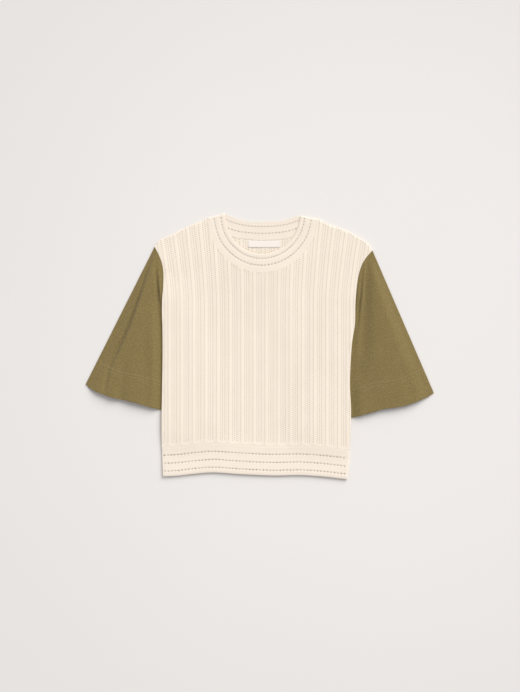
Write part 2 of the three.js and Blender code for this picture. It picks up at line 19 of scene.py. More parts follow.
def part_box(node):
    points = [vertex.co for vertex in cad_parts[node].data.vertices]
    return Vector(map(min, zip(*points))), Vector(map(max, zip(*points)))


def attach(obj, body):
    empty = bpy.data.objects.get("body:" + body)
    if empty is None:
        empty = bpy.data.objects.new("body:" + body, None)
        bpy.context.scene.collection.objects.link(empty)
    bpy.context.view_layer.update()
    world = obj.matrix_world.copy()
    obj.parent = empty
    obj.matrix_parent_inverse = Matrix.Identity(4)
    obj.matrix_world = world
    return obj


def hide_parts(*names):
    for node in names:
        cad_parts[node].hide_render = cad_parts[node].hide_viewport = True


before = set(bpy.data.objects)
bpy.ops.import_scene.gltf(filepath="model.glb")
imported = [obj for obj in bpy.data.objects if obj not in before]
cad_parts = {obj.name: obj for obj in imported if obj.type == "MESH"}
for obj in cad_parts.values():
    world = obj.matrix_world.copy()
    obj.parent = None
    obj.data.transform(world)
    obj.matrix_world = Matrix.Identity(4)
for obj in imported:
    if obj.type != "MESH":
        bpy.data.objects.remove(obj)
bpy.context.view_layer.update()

# Short names for types
Array = np.ndarray
Colour = tuple[float, float, float, float]
Material = bpy.types.Material
Piece = bpy.types.Object
Socket = bpy.types.NodeSocket
Tree = bpy.types.NodeTree

LOG = logging.getLogger("crop_top")
MM = 0.001
PATTERN_MAP = "pattern"
# Point attribute for the painted inner shade of faces inside the garment
INNER_SHADE_SHARE = "inside"
# Point attribute for the painted shade round the eyelet rims
RIM_SHADE_SHARE = "opening"

# Cloth walls and the gaps between layers, as the frame has them
KNIT_WALL = 2.0
WOVEN_WALL = 1.0
LAYER_GAP = 0.3
SEAM_GAP = 0.15
EDGE_DROP = 0.45
EDGE_ROUND = 3.0
FLAT_SLEEVE = 2 * WOVEN_WALL + LAYER_GAP
FOLD_TURN = math.pi * (LAYER_GAP / 2 + KNIT_WALL / 2)

# Knit repeat: mesh columns between plain ribs
RIB_PITCH = 25.4
RIB_CENTRE = -2.1
MESH_HALF_WIDTH = 6.2
PLAIN_FROM_CENTRE = 8.7
RIB_RISE = 0.45
HOLE_PITCH = 4.4
COLUMN_GAP = 4.7
BAND_HEIGHT = 62.0
FIRST_HOLE = BAND_HEIGHT + 7.5
WALE = RIB_PITCH / 12
COURSE = HOLE_PITCH / 3


def table(names: str, *rows: tuple[float, ...]) -> np.recarray:
    """Makes a short table with named columns.

    Args:
        names: The columns' names, parted by commas.
        rows: The table's lines.

    Returns:
        The table, with a column for each name.
    """
    return np.rec.fromrecords([tuple(map(float, row)) for row in rows], names=names)


HEM = table(
    "x, y",
    (-203.1, -272.8), (-174.7, -271.5), (-135.9, -267.1), (-99.5, -264.4), (-44.7, -267.8),
    (28.6, -270.9), (85.5, -270.1), (131, -272.8), (183.3, -278.9),
)
LEFT_EDGE = table(
    "y, x",
    (-272.8, -203.1), (-218, -205.4), (-172.6, -206.4), (-81.5, -204.8), (-13, -203.7), (43.9, -204.3),
    (66.2, -205.3), (100.2, -204.6), (127.5, -202.4), (155, -202.4), (175.4, -205.8), (193.6, -212.7),
    (209, -221),
)
RIGHT_EDGE = table(
    "y, x",
    (-278.9, 183.3), (-240.9, 186.9), (-195.3, 189), (-138, 191.3), (-81.5, 189), (-35.9, 190.3),
    (9.7, 193.6), (44.7, 199.1), (86.5, 200.3), (113.8, 202.2), (136.7, 205), (157.1, 209.4),
    (173, 215), (189, 225.3), (201.6, 236.7),
)
LEFT_SHOULDER = table(
    "x, y",
    (-221, 209), (-209.2, 223), (-184.8, 233.3), (-156.9, 248), (-124.5, 262.1), (-110.6, 268.6),
)
RIGHT_SHOULDER = table(
    "x, y",
    (122.9, 266.5), (143.2, 255.8), (173, 245.1), (196.8, 234.4), (226.8, 215), (236.7, 201.6),
)
FRONT_NECK = table(
    "seam_x, seam_y, free_x, free_y",
    (-109.8, 268.8, -73.7, 278.7), (-106.2, 249.7, -70.6, 258.6), (-100.2, 228.4, -66.8, 244.6),
    (-90.7, 209.1, -59.4, 230.1), (-76.9, 191.7, -49.4, 217.4), (-60.2, 176.8, -37.9, 207.2),
    (-40.7, 165.4, -25.3, 199.8), (-19.2, 158.4, -11.4, 195.3), (3.4, 156, 3.5, 193.7),
    (26, 158.2, 18.7, 195.2), (47.7, 164.7, 33.4, 199.6), (67.6, 175.2, 46.9, 206.7),
    (85, 189.2, 58.7, 216.2), (99.4, 206.1, 68.7, 228), (110.8, 225.3, 76.8, 241.7),
    (118.1, 246.3, 82, 256.5), (122.2, 266.5, 85.5, 274.1),
)
BACK_NECK = table(
    "seam_x, seam_y, free_x, free_y",
    (-109.8, 268.8, -73.7, 278.7), (-97, 250.5, -66.5, 274.6), (-78, 238, -57, 270.6),
    (-57, 229.8, -45.8, 266.9), (-32, 225.6, -25, 262.3), (-8, 223.4, -6, 261), (15, 223.1, 13, 261.2),
    (40, 224.5, 34, 262.3), (64, 228.6, 55, 265.6), (86, 235.8, 70, 270.4), (107, 248.5, 79, 273),
    (122.2, 266.5, 85.5, 274.1),
)
# Soft wrinkles of the front: centre, direction, half length, half width and height
WRINKLES = table(
    "x, y, angle, long, wide, height",
    (-176, 140, 90, 40, 8, -0.5), (164, 104, 82, 42, 9, -0.6), (-60, -60, 84, 120, 26, 0.7),
    (70, 10, 96, 120, 28, 0.8), (-130, -190, 40, 60, 24, 0.5), (150, -200, 130, 60, 24, 0.5),
)


class Layer(Enum):
    """Which of the body's two layers a piece belongs to."""

    FRONT = "front"
    BACK = "back"


class Side(Enum):
    """Which side of the picture a sleeve is on."""

    LEFT = -1
    RIGHT = 1


class Held(Enum):
    """How a sheet of cloth is held."""

    LAID = "laid"
    FOLDED = "folded"


# Plain geometry


def smooth(low: float, high: float, value: Array) -> Array:
    """Eases from 0 at low to 1 at high.

    Args:
        low: Where the rise starts.
        high: Where the rise ends.
        value: The places asked for.

    Returns:
        The eased shares.
    """
    share = np.clip((value - low) / (high - low), 0, 1)
    return share * share * (3 - 2 * share)


def pairs(first: Array, second: Array) -> Array:
    """Two columns side by side, as points."""
    return np.stack([first, second], axis=-1)


def curve_at(points: Array, share: Array) -> Array:
    """Follows a smooth centripetal curve through some points.

    Args:
        points: The points that it passes through.
        share: Shares of the number of stretches, from 0 to 1.

    Returns:
        A point for each share.
    """
    last = len(points) - 1
    ends = np.vstack([2 * points[0] - points[1], points, 2 * points[-1] - points[-2]])
    place = np.clip(share, 0, 1) * last
    index = np.minimum(place.astype(int), last - 1)
    w = (place - index)[:, None]
    a, b, c, d = (ends[index + k] for k in range(4))
    before, here, after = (
        np.sqrt(np.linalg.norm(q - p, axis=1))[:, None] for p, q in ((a, b), (b, c), (c, d))
    )
    leave = ((b - a) / before - (c - a) / (before + here) + (c - b) / here) * here
    reach = ((c - b) / here - (d - b) / (here + after) + (d - c) / after) * here
    return b + leave * w + (3 * (c - b) - 2 * leave - reach) * w**2 + (2 * (b - c) + leave + reach) * w**3


def evenly(line: Array, share: Array) -> Array:
    """Points at shares of a line's length.

    Args:
        line: The line's points.
        share: Shares of its length, from 0 to 1.

    Returns:
        A point for each share.
    """
    reach = running(line)
    return pairs(*(np.interp(share * reach[-1], reach, line[:, axis]) for axis in (0, 1)))


def smooth_line(points: Array, step: float) -> Array:
    """A smooth curve through points, in even steps.

    Args:
        points: The points that it passes through.
        step: About how far apart the new points are.

    Returns:
        The curve's points, both ends among them.
    """
    fine = curve_at(points, np.linspace(0, 1, 24 * len(points)))
    length = np.linalg.norm(np.diff(fine, axis=0), axis=1).sum()
    return evenly(fine, np.linspace(0, 1, max(3, round(length / step) + 1)))


def length_of(line: Array) -> float:
    """A line's length."""
    return float(np.linalg.norm(np.diff(line, axis=0), axis=1).sum())


def running(line: Array) -> Array:
    """How far along a line each of its points is."""
    return np.concatenate([[0], np.cumsum(np.linalg.norm(np.diff(line, axis=0), axis=1))])


def joined_up(outline: Array) -> Array:
    """An outline with its first corner at its end too."""
    return np.vstack([outline, outline[:1]])


def outward(seam: Array, free: Array) -> Array:
    """The level directions from a band's free edge to its sewn edge."""
    return (seam - free) / np.linalg.norm(seam - free, axis=1)[:, None]


def two_faces(x: Array, y: Array, upper: Array, lower: Array) -> Array:
    """The points of a piece's upper face and then those of its lower face."""
    return np.concatenate([np.stack([x, y, z], axis=1) for z in (upper, lower)])


def measure_from(line: Array, points: Array) -> tuple[Array, Array, Array]:
    """How far points are from a line.

    Args:
        line: The line's points.
        points: The places asked for.

    Returns:
        The distances; the same ones, positive left of the line's direction and negative right of it;
        and how far along the line the nearest place is, as a share of its stretches.
    """
    start, stretch = line[:-1], np.diff(line, axis=0)
    square = np.maximum((stretch**2).sum(1), 1e-12)
    best = np.full(len(points), np.inf)
    sign = np.ones(len(points))
    place = np.zeros(len(points))
    for k in nearby_stretches(line, points):
        offset = points - start[k]
        part = np.clip((offset * stretch[k]).sum(-1) / square[k], 0, 1)
        away = offset - part[:, None] * stretch[k]
        distance = np.hypot(away[:, 0], away[:, 1])
        near = distance < best
        best[near] = distance[near]
        cross = stretch[k][..., 0] * offset[:, 1] - stretch[k][..., 1] * offset[:, 0]
        sign[near] = np.sign(cross[near])
        place[near] = ((k + part) / len(start))[near]
    return best, sign * best, place


def nearby_stretches(line: Array, points: Array) -> list:
    """The stretches of a line that may be nearest to each point.

    Args:
        line: The line's points.
        points: The places asked for.

    Returns:
        Every stretch of a short line; for a long one, the two that meet at each point's nearest corner.
    """
    stretches = len(line) - 1
    if stretches <= 12:
        return list(range(stretches))
    tree = KDTree(len(line))
    for number, (x, y) in enumerate(line.tolist()):
        tree.insert((x, y, 0.0), number)
    tree.balance()
    nearest = np.array([tree.find((x, y, 0.0))[1] for x, y in points.tolist()], dtype=int)
    return [np.maximum(nearest - 1, 0), np.minimum(nearest, stretches - 1)]


def inside(outline: Array, points: Array) -> Array:
    """Which points lie inside a closed outline.

    Args:
        outline: The outline's corners.
        points: The places asked for.

    Returns:
        True for each point that is inside.
    """
    found = np.zeros(len(points), bool)
    for a, b in zip(outline, np.roll(outline, -1, axis=0)):
        crosses = (a[1] > points[:, 1]) != (b[1] > points[:, 1])
        rise = b[1] - a[1] or 1e-12
        found ^= crosses & (points[:, 0] < a[0] + (points[:, 1] - a[1]) * (b[0] - a[0]) / rise)
    return found


@dataclass
class FlatPattern:
    """A flat piece of cloth before it is laid: an outline, holes and the points that carry its relief."""

    outline: Array
    hole_centres: Array
    hole_radii: Array
    hole_corners: int = 6
    collar: float = 0.0
    marks: Array = field(default_factory=lambda: np.zeros((0, 2)))
    clear: float = 0.5

    def cut(self) -> tuple[Array, Array, Array]:
        """Cuts the piece into triangles.

        Returns:
            The points, the triangles and each point's hole, which is -1 away from the holes.
        """
        corners = self.hole_corners
        turn = np.arange(corners) * 2 * math.pi / corners + math.pi / corners
        ring = pairs(np.cos(turn), np.sin(turn))
        holes = self.hole_centres[:, None] + ring[None] * self.hole_radii[:, None, None]
        marks = [self.clear_marks()]
        if self.collar:
            wide = (self.hole_radii + self.collar)[:, None, None]
            marks.append((self.hole_centres[:, None] + ring[None] * wide).reshape(-1, 2))
        loose = np.concatenate(marks)
        points = np.concatenate([self.outline, holes.reshape(-1, 2), loose])
        count = len(self.outline)
        edges = [(k, (k + 1) % count) for k in range(count)]
        for first in range(count, count + len(holes) * corners, corners):
            edges += [(first + k, first + (k + 1) % corners) for k in range(corners)]
        made = delaunay_2d_cdt([Vector(p) for p in points], edges, [], 1, 1e-6, False)
        if len(made[0]) != len(points):
            raise ValueError(f"two points of the pattern meet: {len(points)} became {len(made[0])}")
        triangles = np.array(made[2])
        hole = np.full(len(points), -1)
        hole[count : count + len(holes) * corners] = np.repeat(np.arange(len(holes)), corners)
        owner = hole[triangles]
        gap = (owner[:, 0] >= 0) & (owner[:, 0] == owner[:, 1]) & (owner[:, 1] == owner[:, 2])
        rim = np.flatnonzero((triangles < count).all(axis=1))
        gap[rim[~inside(self.outline, points[triangles[rim]].mean(axis=1))]] = True
        return points, triangles[~gap], hole

    def clear_marks(self) -> Array:
        """The marks that are inside the outline and clear of it and of the holes.

        Returns:
            The marks that are kept.
        """
        marks = self.marks[inside(self.outline, self.marks)]
        closed = joined_up(self.outline)
        marks = marks[measure_from(closed, marks)[0] > self.clear]
        if not len(self.hole_centres):
            return marks
        cell = 6.0
        spots = {}
        for k, place in enumerate(np.floor(self.hole_centres / cell).astype(int)):
            spots.setdefault(tuple(place), []).append(k)
        kept = []
        for mark in marks:
            column, row = np.floor(mark / cell).astype(int)
            near = [
                k for i in (-1, 0, 1) for j in (-1, 0, 1) for k in spots.get((column + i, row + j), ())
            ]
            reach = self.hole_radii[near] + self.collar + self.clear
            gaps = np.hypot(*(self.hole_centres[near] - mark).T)
            kept.append(bool(np.all(gaps > reach)))
        return marks[kept]


@lru_cache(maxsize=None)
def plan_shift() -> Array:
    """Where the plan's origin is in the frame.

    Returns:
        The shift in metres, x, y and z.
    """
    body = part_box("front_panel")[0]
    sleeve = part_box("sleeve_left")[0]
    return np.array([sleeve.x - LEFT_SLEEVE_HEM.x.min() * MM, body.y - HEM.y.min() * MM, 0.0])


def make_piece(name: str, points: Array, faces: list, pattern: Array, finish: Material,
               sharp: float = 50.0, hidden: Array | None = None,
               opening: Array | None = None) -> Piece:
    """Makes one mesh piece, shaded smooth but for its sharp edges.

    Args:
        name: The piece's name.
        points: Its points in plan millimetres.
        faces: Its faces as point numbers.
        pattern: Each point's place on the flat cloth, in millimetres.
        finish: Its material.
        sharp: The angle in degrees past which an edge stays sharp.
        hidden: How far inside the garment each point is, from 0 to 1; it sets how much painted inner shade
            the point takes.
        opening: How near an eyelet's rim each point is, from 0 to 1; it sets the painted shade round the
            eyelets.

    Returns:
        The piece, riding on the garment's one body.
    """
    mesh = bpy.data.meshes.new(name)
    mesh.from_pydata((points * MM + plan_shift()).tolist(), [], faces)
    # Shares of painted inner shade and of painted shade round the eyelet rims
    for label, shares in ((INNER_SHADE_SHARE, hidden), (RIM_SHADE_SHARE, opening)):
        attribute = mesh.attributes.new(label, "FLOAT", "POINT")
        if shares is not None:
            attribute.data.foreach_set("value", shares.astype(np.float32))
    corners = np.zeros(len(mesh.loops), dtype=np.int32)
    mesh.loops.foreach_get("vertex_index", corners)
    layer = mesh.uv_layers.new(name=PATTERN_MAP)
    layer.data.foreach_set("uv", pattern[corners].astype(np.float32).ravel())
    mesh.shade_smooth()
    mesh.set_sharp_from_angle(angle=math.radians(sharp))
    mesh.materials.append(finish)
    mesh.validate()
    piece = bpy.data.objects.new(name, mesh)
    bpy.context.scene.collection.objects.link(piece)
    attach(piece, "root")
    LOG.info("%s: %d points, %d faces", name, len(mesh.vertices), len(mesh.polygons))
    return piece


def shell_faces(triangles: Array, count: int) -> list:
    """The faces of a closed shell from the triangles of its upper face.

    Args:
        triangles: The upper face's triangles.
        count: How many points a face has; the lower face's points follow the upper's.

    Returns:
        Upper, lower and rim faces.
    """
    edges = np.concatenate([triangles[:, [0, 1]], triangles[:, [1, 2]], triangles[:, [2, 0]]])
    forward = edges[:, 0] * count + edges[:, 1]
    backward = edges[:, 1] * count + edges[:, 0]
    rim = edges[~np.isin(backward, forward)]
    rims = np.stack([rim[:, 1], rim[:, 0], rim[:, 0] + count, rim[:, 1] + count], axis=1)
    return triangles.tolist() + (triangles[:, ::-1] + count).tolist() + rims.tolist()


# The body's plan and its heights


@dataclass(frozen=True)
class BodyPlan:
    """The outline and heights of the body's two layers."""

    lean: float = 0.087
    lean_start: float = 100.0
    lean_reach: float = 130.0
    lean_power: float = 1.3
    tuck_clearance: float = FLAT_SLEEVE + 0.5
    tuck_plateau: float = 17.0
    tuck_fall: float = 77.0
    tuck_slack: float = 15.0
    neck_lift_x: float = 3.5
    neck_lift_y: float = 172.0
    neck_lift_reach: float = 72.0
    neck_lift: float = 2.8
    hem_lift_reach: float = 46.0
    hem_lift: float = 1.5

    def hem_y(self, x: Array) -> Array:
        """Height up the plan of the hem edge at each x."""
        return np.interp(x, HEM_LINE[:, 0], HEM_LINE[:, 1])

    def edge_x(self, side: Side, y: Array) -> Array:
        """The body's side edge at each y."""
        line = LEFT_LINE if side is Side.LEFT else RIGHT_LINE
        return np.interp(y, line[:, 1], line[:, 0])

    def spread(self, y: Array) -> Array:
        """How far the knit's columns fan out towards the shoulders."""
        up = np.clip((y - self.lean_start) / self.lean_reach, 0, 2)
        return 1 + self.lean * up**self.lean_power

    def rib_rise(self, column: Array) -> Array:
        """Height of the plain ribs over the mesh columns.

        Args:
            column: Places across the unspread cloth.

        Returns:
            The rise at each place.
        """
        phase = np.abs((column - RIB_CENTRE + RIB_PITCH / 2) % RIB_PITCH - RIB_PITCH / 2)
        ramp = (phase - MESH_HALF_WIDTH) / (PLAIN_FROM_CENTRE - MESH_HALF_WIDTH)
        return RIB_RISE * np.clip(ramp, 0, 1)

    def tuck_rise(self, x: Array, y: Array, wider: float) -> Array:
        """Rise over the parts of the sleeves that lie under the body.

        Args:
            x: Places across the plan.
            y: Places up the plan.
            wider: How much further than the back layer's rise this one reaches.

        Returns:
            The rise at each place.
        """
        points = pairs(x, y)
        away = np.full(len(points), np.inf)
        for polygon in TUCKS:
            distance = measure_from(joined_up(polygon), points)[0]
            away = np.minimum(away, np.where(inside(polygon, points), 0, distance))
        fall = smooth(self.tuck_plateau + wider, self.tuck_fall + wider, away)
        return self.tuck_clearance * (1 - fall)

    def back_under(self, x: Array, y: Array) -> Array:
        """Height of the back layer's underside."""
        return self.tuck_rise(x, y, 0)

    def front_under(self, x: Array, y: Array) -> Array:
        """Height of the front layer's underside.

        Args:
            x: Places across the plan.
            y: Places up the plan.

        Returns:
            The height at each place.
        """
        base = self.back_under(x, y)
        off = np.hypot(x - self.neck_lift_x, y - self.neck_lift_y) / self.neck_lift_reach
        lift = self.neck_lift * np.exp(-off * off)
        lift += self.tuck_rise(x, y, self.tuck_slack) - base
        lift += self.hem_lift * (1 - smooth(0, self.hem_lift_reach, y - self.hem_y(x)))
        for wrinkle in WRINKLES:
            turn = math.radians(wrinkle.angle)
            across, up = x - wrinkle.x, y - wrinkle.y
            u = (across * math.cos(turn) + up * math.sin(turn)) / wrinkle.long
            v = (up * math.cos(turn) - across * math.sin(turn)) / wrinkle.wide
            lift += wrinkle.height * np.exp(-u * u - v * v)
        return base + KNIT_WALL + LAYER_GAP + np.maximum(lift, 0)


@dataclass(frozen=True)
class Neckline:
    """A neckline's sewn and free edges, from the left shoulder fold to the right one."""

    rows: np.recarray
    fold_inset: float = 2.0
    fold_ease: float = 0.1

    def away(self, end: int) -> Array:
        """The level direction out of the garment at a shoulder fold.

        Args:
            end: 0 at the left fold and -1 at the right one.

        Returns:
            The direction, one long.
        """
        row = self.rows[end]
        line = np.array([row.free_x - row.seam_x, row.free_y - row.seam_y])
        line /= np.linalg.norm(line)
        out = np.array([-line[1], line[0]])
        return out if out[1] > 0 else -out

    def edges(self, share: Array) -> tuple[Array, Array]:
        """The band's sewn and free edges.

        Args:
            share: Shares of the way from the left fold to the right one.

        Returns:
            Points of the sewn edge and of the free edge.
        """
        drop = self.fold_inset * np.maximum(0, 1 - np.minimum(share, 1 - share) / self.fold_ease)
        away = np.where((share < 0.5)[:, None], self.away(0), self.away(-1))
        shift = -away * drop[:, None]
        seam = curve_at(pairs(self.rows.seam_x, self.rows.seam_y), share) + shift
        free = curve_at(pairs(self.rows.free_x, self.rows.free_y), share) + shift
        return seam, free

    def panel_edge(self, count: int) -> Array:
        """The panel's neckline, a seam gap outside the band's sewn edge.

        Args:
            count: How many points it has.

        Returns:
            The points from the left fold to the right one.
        """
        seam, free = self.edges(np.linspace(0, 1, count))
        return seam + outward(seam, free) * SEAM_GAP


LEFT_SLEEVE_HEM = table(
    "x, y",
    (-365.4, -79.2), (-353.9, -89.9), (-331.2, -100.2), (-308.3, -108.2), (-285.6, -112.8),
    (-262.7, -118.4), (-240, -125.2), (-212, -132.4),
)
LEFT_HIDDEN_HEM = table("x, y", (-212, -132.4), (-178, -141), (-134, -151))
LEFT_UNDER = table("x, y", (-205.6, 70), (-201, 56), (-186, 44))
RIGHT_SLEEVE_HEM = table(
    "x, y",
    (365.4, -97.9), (355.1, -104.8), (334.7, -113.8), (309.5, -123.1), (282.2, -128.7),
    (259.6, -131.7), (233.5, -139.4), (204, -147.4),
)
RIGHT_HIDDEN_HEM = table("x, y", (204, -147.4), (170, -154), (125, -163))
RIGHT_UNDER = table("x, y", (200, 60), (195.5, 47), (181, 36))
# Where each sleeve's top fold meets the body, and where the sleeve leaves the body's edge
TIPS = {Side.LEFT: 208.6, Side.RIGHT: 201.2}
LEAVES = {Side.LEFT: 70.0, Side.RIGHT: 60.0}

HEM_LINE = smooth_line(pairs(HEM.x, HEM.y), 4)
LEFT_LINE = smooth_line(pairs(LEFT_EDGE.x, LEFT_EDGE.y), 4)
RIGHT_LINE = smooth_line(pairs(RIGHT_EDGE.x, RIGHT_EDGE.y), 4)


def tuck(under: np.recarray, hem: np.recarray, hidden: np.recarray) -> Array:
    """The part of a sleeve that lies under the body, as a polygon.

    Args:
        under: The armhole edge where it dips under the body.
        hem: The sleeve's free hem.
        hidden: The hem's part under the body.

    Returns:
        The polygon's corners.
    """
    corners = (under[0], under[-1], hidden[-1], hem[-1])
    return np.array([(corner.x, corner.y) for corner in corners])


TUCKS = (
    tuck(LEFT_UNDER, LEFT_SLEEVE_HEM, LEFT_HIDDEN_HEM),
    tuck(RIGHT_UNDER, RIGHT_SLEEVE_HEM, RIGHT_HIDDEN_HEM),
)
PLAN = BodyPlan()
NECKLINES = {Layer.FRONT: Neckline(FRONT_NECK), Layer.BACK: Neckline(BACK_NECK)}


# Finishes


class Wiring:
    """A node tree being filled."""

    def __init__(self, tree: Tree) -> None:
        """Starts with an empty tree."""
        self.tree = tree
        tree.nodes.clear()

    def join(self, value: object, socket: Socket) -> None:
        """Links an output to a socket, or sets the socket's own value.

        Args:
            value: An output's socket or a plain value.
            socket: The socket that takes it.
        """
        if isinstance(value, Socket):
            self.tree.links.new(value, socket)
        else:
            socket.default_value = value

    def node(self, kind: str, inputs: dict[str, object], **settings: object) -> bpy.types.Node:
        """Adds a node.

        Args:
            kind: The node's type.
            inputs: Values or outputs for its sockets, by name or number.
            settings: Its own settings.

        Returns:
            The node.
        """
        made = self.tree.nodes.new(kind)
        for name, value in settings.items():
            setattr(made, name, value)
        for name, value in inputs.items():
            self.join(value, made.inputs[name])
        return made

    def math(self, operation: str, *values: object) -> Socket:
        """One sum of up to three values.

        Args:
            operation: The sum's name.
            values: Its numbers or sockets.

        Returns:
            The result's socket.
        """
        return self.node("ShaderNodeMath", dict(enumerate(values)), operation=operation).outputs[0]

    def times(self, first: object, second: object) -> Socket:
        """The product of two values."""
        return self.math("MULTIPLY", first, second)

    def minus(self, first: object, second: object) -> Socket:
        """The first value less the second."""
        return self.math("SUBTRACT", first, second)

    def ease(self, value: object, low: float, high: float, start: float, end: float) -> Socket:
        """A smooth step from start to end as value goes from low to high.

        Args:
            value: The socket read.
            low: Where the step starts.
            high: Where it ends.
            start: What it gives up to low.
            end: What it gives from high on.

        Returns:
            The result's socket.
        """
        inputs = {"Value": value, "From Min": low, "From Max": high, "To Min": start, "To Max": end}
        return self.node("ShaderNodeMapRange", inputs, interpolation_type="SMOOTHSTEP").outputs[0]

    def blend(self, share: object, first: object, second: object, how: str = "MIX") -> Socket:
        """A mix of two colours.

        Args:
            share: How much of the second is taken.
            first: The first colour.
            second: The second colour.
            how: The way they are mixed.

        Returns:
            The mixed colour's socket.
        """
        made = self.node("ShaderNodeMix", {}, data_type="RGBA", blend_type=how)
        self.join(share, made.inputs[0])
        self.join(first, made.inputs[6])
        self.join(second, made.inputs[7])
        return made.outputs[2]

    def pattern(self) -> tuple[Socket, Socket, Socket]:
        """The place on the flat cloth.

        Returns:
            Its socket as a vector, and its two parts' sockets.
        """
        place = self.node("ShaderNodeUVMap", {}, uv_map=PATTERN_MAP).outputs[0]
        parts = self.node("ShaderNodeSeparateXYZ", {0: place})
        return place, parts.outputs[0], parts.outputs[1]

    def noise(self, vector: object, scale: object, detail: float = 3.0) -> Socket:
        """A noise of the given scale, about 0.5."""
        inputs = {"Vector": vector, "Scale": scale, "Detail": detail}
        return self.node("ShaderNodeTexNoise", inputs).outputs[0]


def effect(name: str, inputs: dict[str, str],
           outputs: tuple[str, ...]) -> tuple[Tree, Wiring, object, object]:
    """Starts a shared shader effect.

    Args:
        name: The group's name.
        inputs: Its inputs' kinds by name.
        outputs: The names of its number outputs.

    Returns:
        The group, its wiring, its input node and its output node.
    """
    group = bpy.data.node_groups.new(name, "ShaderNodeTree")
    wiring = Wiring(group)
    for label, kind in inputs.items():
        group.interface.new_socket(name=label, in_out="INPUT", socket_type=kind)
    for label in outputs:
        group.interface.new_socket(name=label, in_out="OUTPUT", socket_type="NodeSocketFloat")
    entry = group.nodes.new("NodeGroupInput")
    leave = group.nodes.new("NodeGroupOutput")
    return group, wiring, entry, leave


def knit_loops() -> Tree:
    """Rows of V shaped knit stitches.

    Returns:
        A group that turns a place on the cloth into the stitches' height and the gaps between them; the gaps
        carry painted shade.
    """
    kinds = {"Pattern": "NodeSocketVector", "Wale": "NodeSocketFloat", "Course": "NodeSocketFloat"}
    group, wiring, entry, leave = effect("knit loops", kinds, ("Height", "Gap"))
    parts = wiring.node("ShaderNodeSeparateXYZ", {0: entry.outputs["Pattern"]})
    across = wiring.math("DIVIDE", parts.outputs[0], entry.outputs["Wale"])
    up = wiring.math("DIVIDE", parts.outputs[1], entry.outputs["Course"])
    leg = wiring.math("ABSOLUTE", wiring.minus(wiring.math("FRACT", across), 0.5))
    slant = wiring.math("FRACT", wiring.minus(up, wiring.times(leg, 1.3)))
    off_leg = wiring.math("ABSOLUTE", wiring.minus(leg, 0.25))
    round_leg = wiring.ease(off_leg, 0.0, 0.25, 1.0, 0.0)
    off_row = wiring.math("ABSOLUTE", wiring.minus(slant, 0.5))
    round_row = wiring.ease(off_row, 0.15, 0.5, 1.0, 0.25)
    height = wiring.times(round_leg, round_row)
    wiring.join(height, leave.inputs["Height"])
    wiring.join(wiring.ease(height, 0.0, 0.35, 1.0, 0.0), leave.inputs["Gap"])
    return group


def yarn_fibres() -> Tree:
    """The fuzz of spun yarn and the slow change of tone over a piece.

    Returns:
        A group that turns a place on the cloth into a fine height, flecks and a slow tone.
    """
    kinds = {
        "Pattern": "NodeSocketVector", "Fine": "NodeSocketFloat", "Fleck": "NodeSocketFloat",
        "Slow": "NodeSocketFloat",
    }
    group, wiring, entry, leave = effect("yarn fibres", kinds, ("Height", "Fleck", "Tone"))
    fine = wiring.noise(entry.outputs["Pattern"], entry.outputs["Fine"], 4.0)
    fleck = wiring.noise(entry.outputs["Pattern"], entry.outputs["Fleck"], 1.0)
    slow = wiring.noise(entry.outputs["Pattern"], entry.outputs["Slow"], 2.0)
    wiring.join(fine, leave.inputs["Height"])
    wiring.join(wiring.ease(fleck, 0.3, 0.7, 0.0, 1.0), leave.inputs["Fleck"])
    wiring.join(wiring.ease(slow, 0.3, 0.7, 0.0, 1.0), leave.inputs["Tone"])
    return group


def mesh_dots() -> Tree:
    """The shade round the small holes of the body's mesh columns.

    Returns:
        A group that turns a place on the cloth into a share that is 1 at each hole and a share that
        is 1 on the plain ribs.
    """
    kinds = {"Pattern": "NodeSocketVector", "Reach": "NodeSocketFloat"}
    group, wiring, entry, leave = effect("mesh dots", kinds, ("Dot", "Plain"))
    parts = wiring.node("ShaderNodeSeparateXYZ", {0: entry.outputs["Pattern"]})
    from_rib = wiring.minus(parts.outputs[0], RIB_CENTRE)
    off = wiring.math("ABSOLUTE", wiring.math("WRAP", from_rib, RIB_PITCH / 2, -RIB_PITCH / 2))
    outer = wiring.math("ABSOLUTE", wiring.minus(off, COLUMN_GAP))
    single = wiring.minus(RIB_PITCH / 2, off)
    across = wiring.math("MINIMUM", off, wiring.math("MINIMUM", outer, single))
    in_outer = wiring.math("LESS_THAN", outer, COLUMN_GAP / 2)
    lift = wiring.times(in_outer, 0.5)
    row = wiring.math("DIVIDE", wiring.minus(parts.outputs[1], FIRST_HOLE), HOLE_PITCH)
    phase = wiring.math("FRACT", wiring.math("ADD", row, lift))
    up = wiring.times(wiring.minus(phase, 0.5), HOLE_PITCH)
    square = wiring.math("ADD", wiring.times(across, across), wiring.times(up, up))
    share = wiring.math("DIVIDE", wiring.math("SQRT", square), entry.outputs["Reach"])
    above = wiring.math("GREATER_THAN", parts.outputs[1], FIRST_HOLE - HOLE_PITCH / 2)
    wiring.join(wiring.times(wiring.ease(share, 0.3, 1.0, 1.0, 0.0), above), leave.inputs["Dot"])
    wiring.join(
        wiring.ease(off, MESH_HALF_WIDTH - 1, PLAIN_FROM_CENTRE, 0.0, 1.0), leave.inputs["Plain"]
    )
    return group


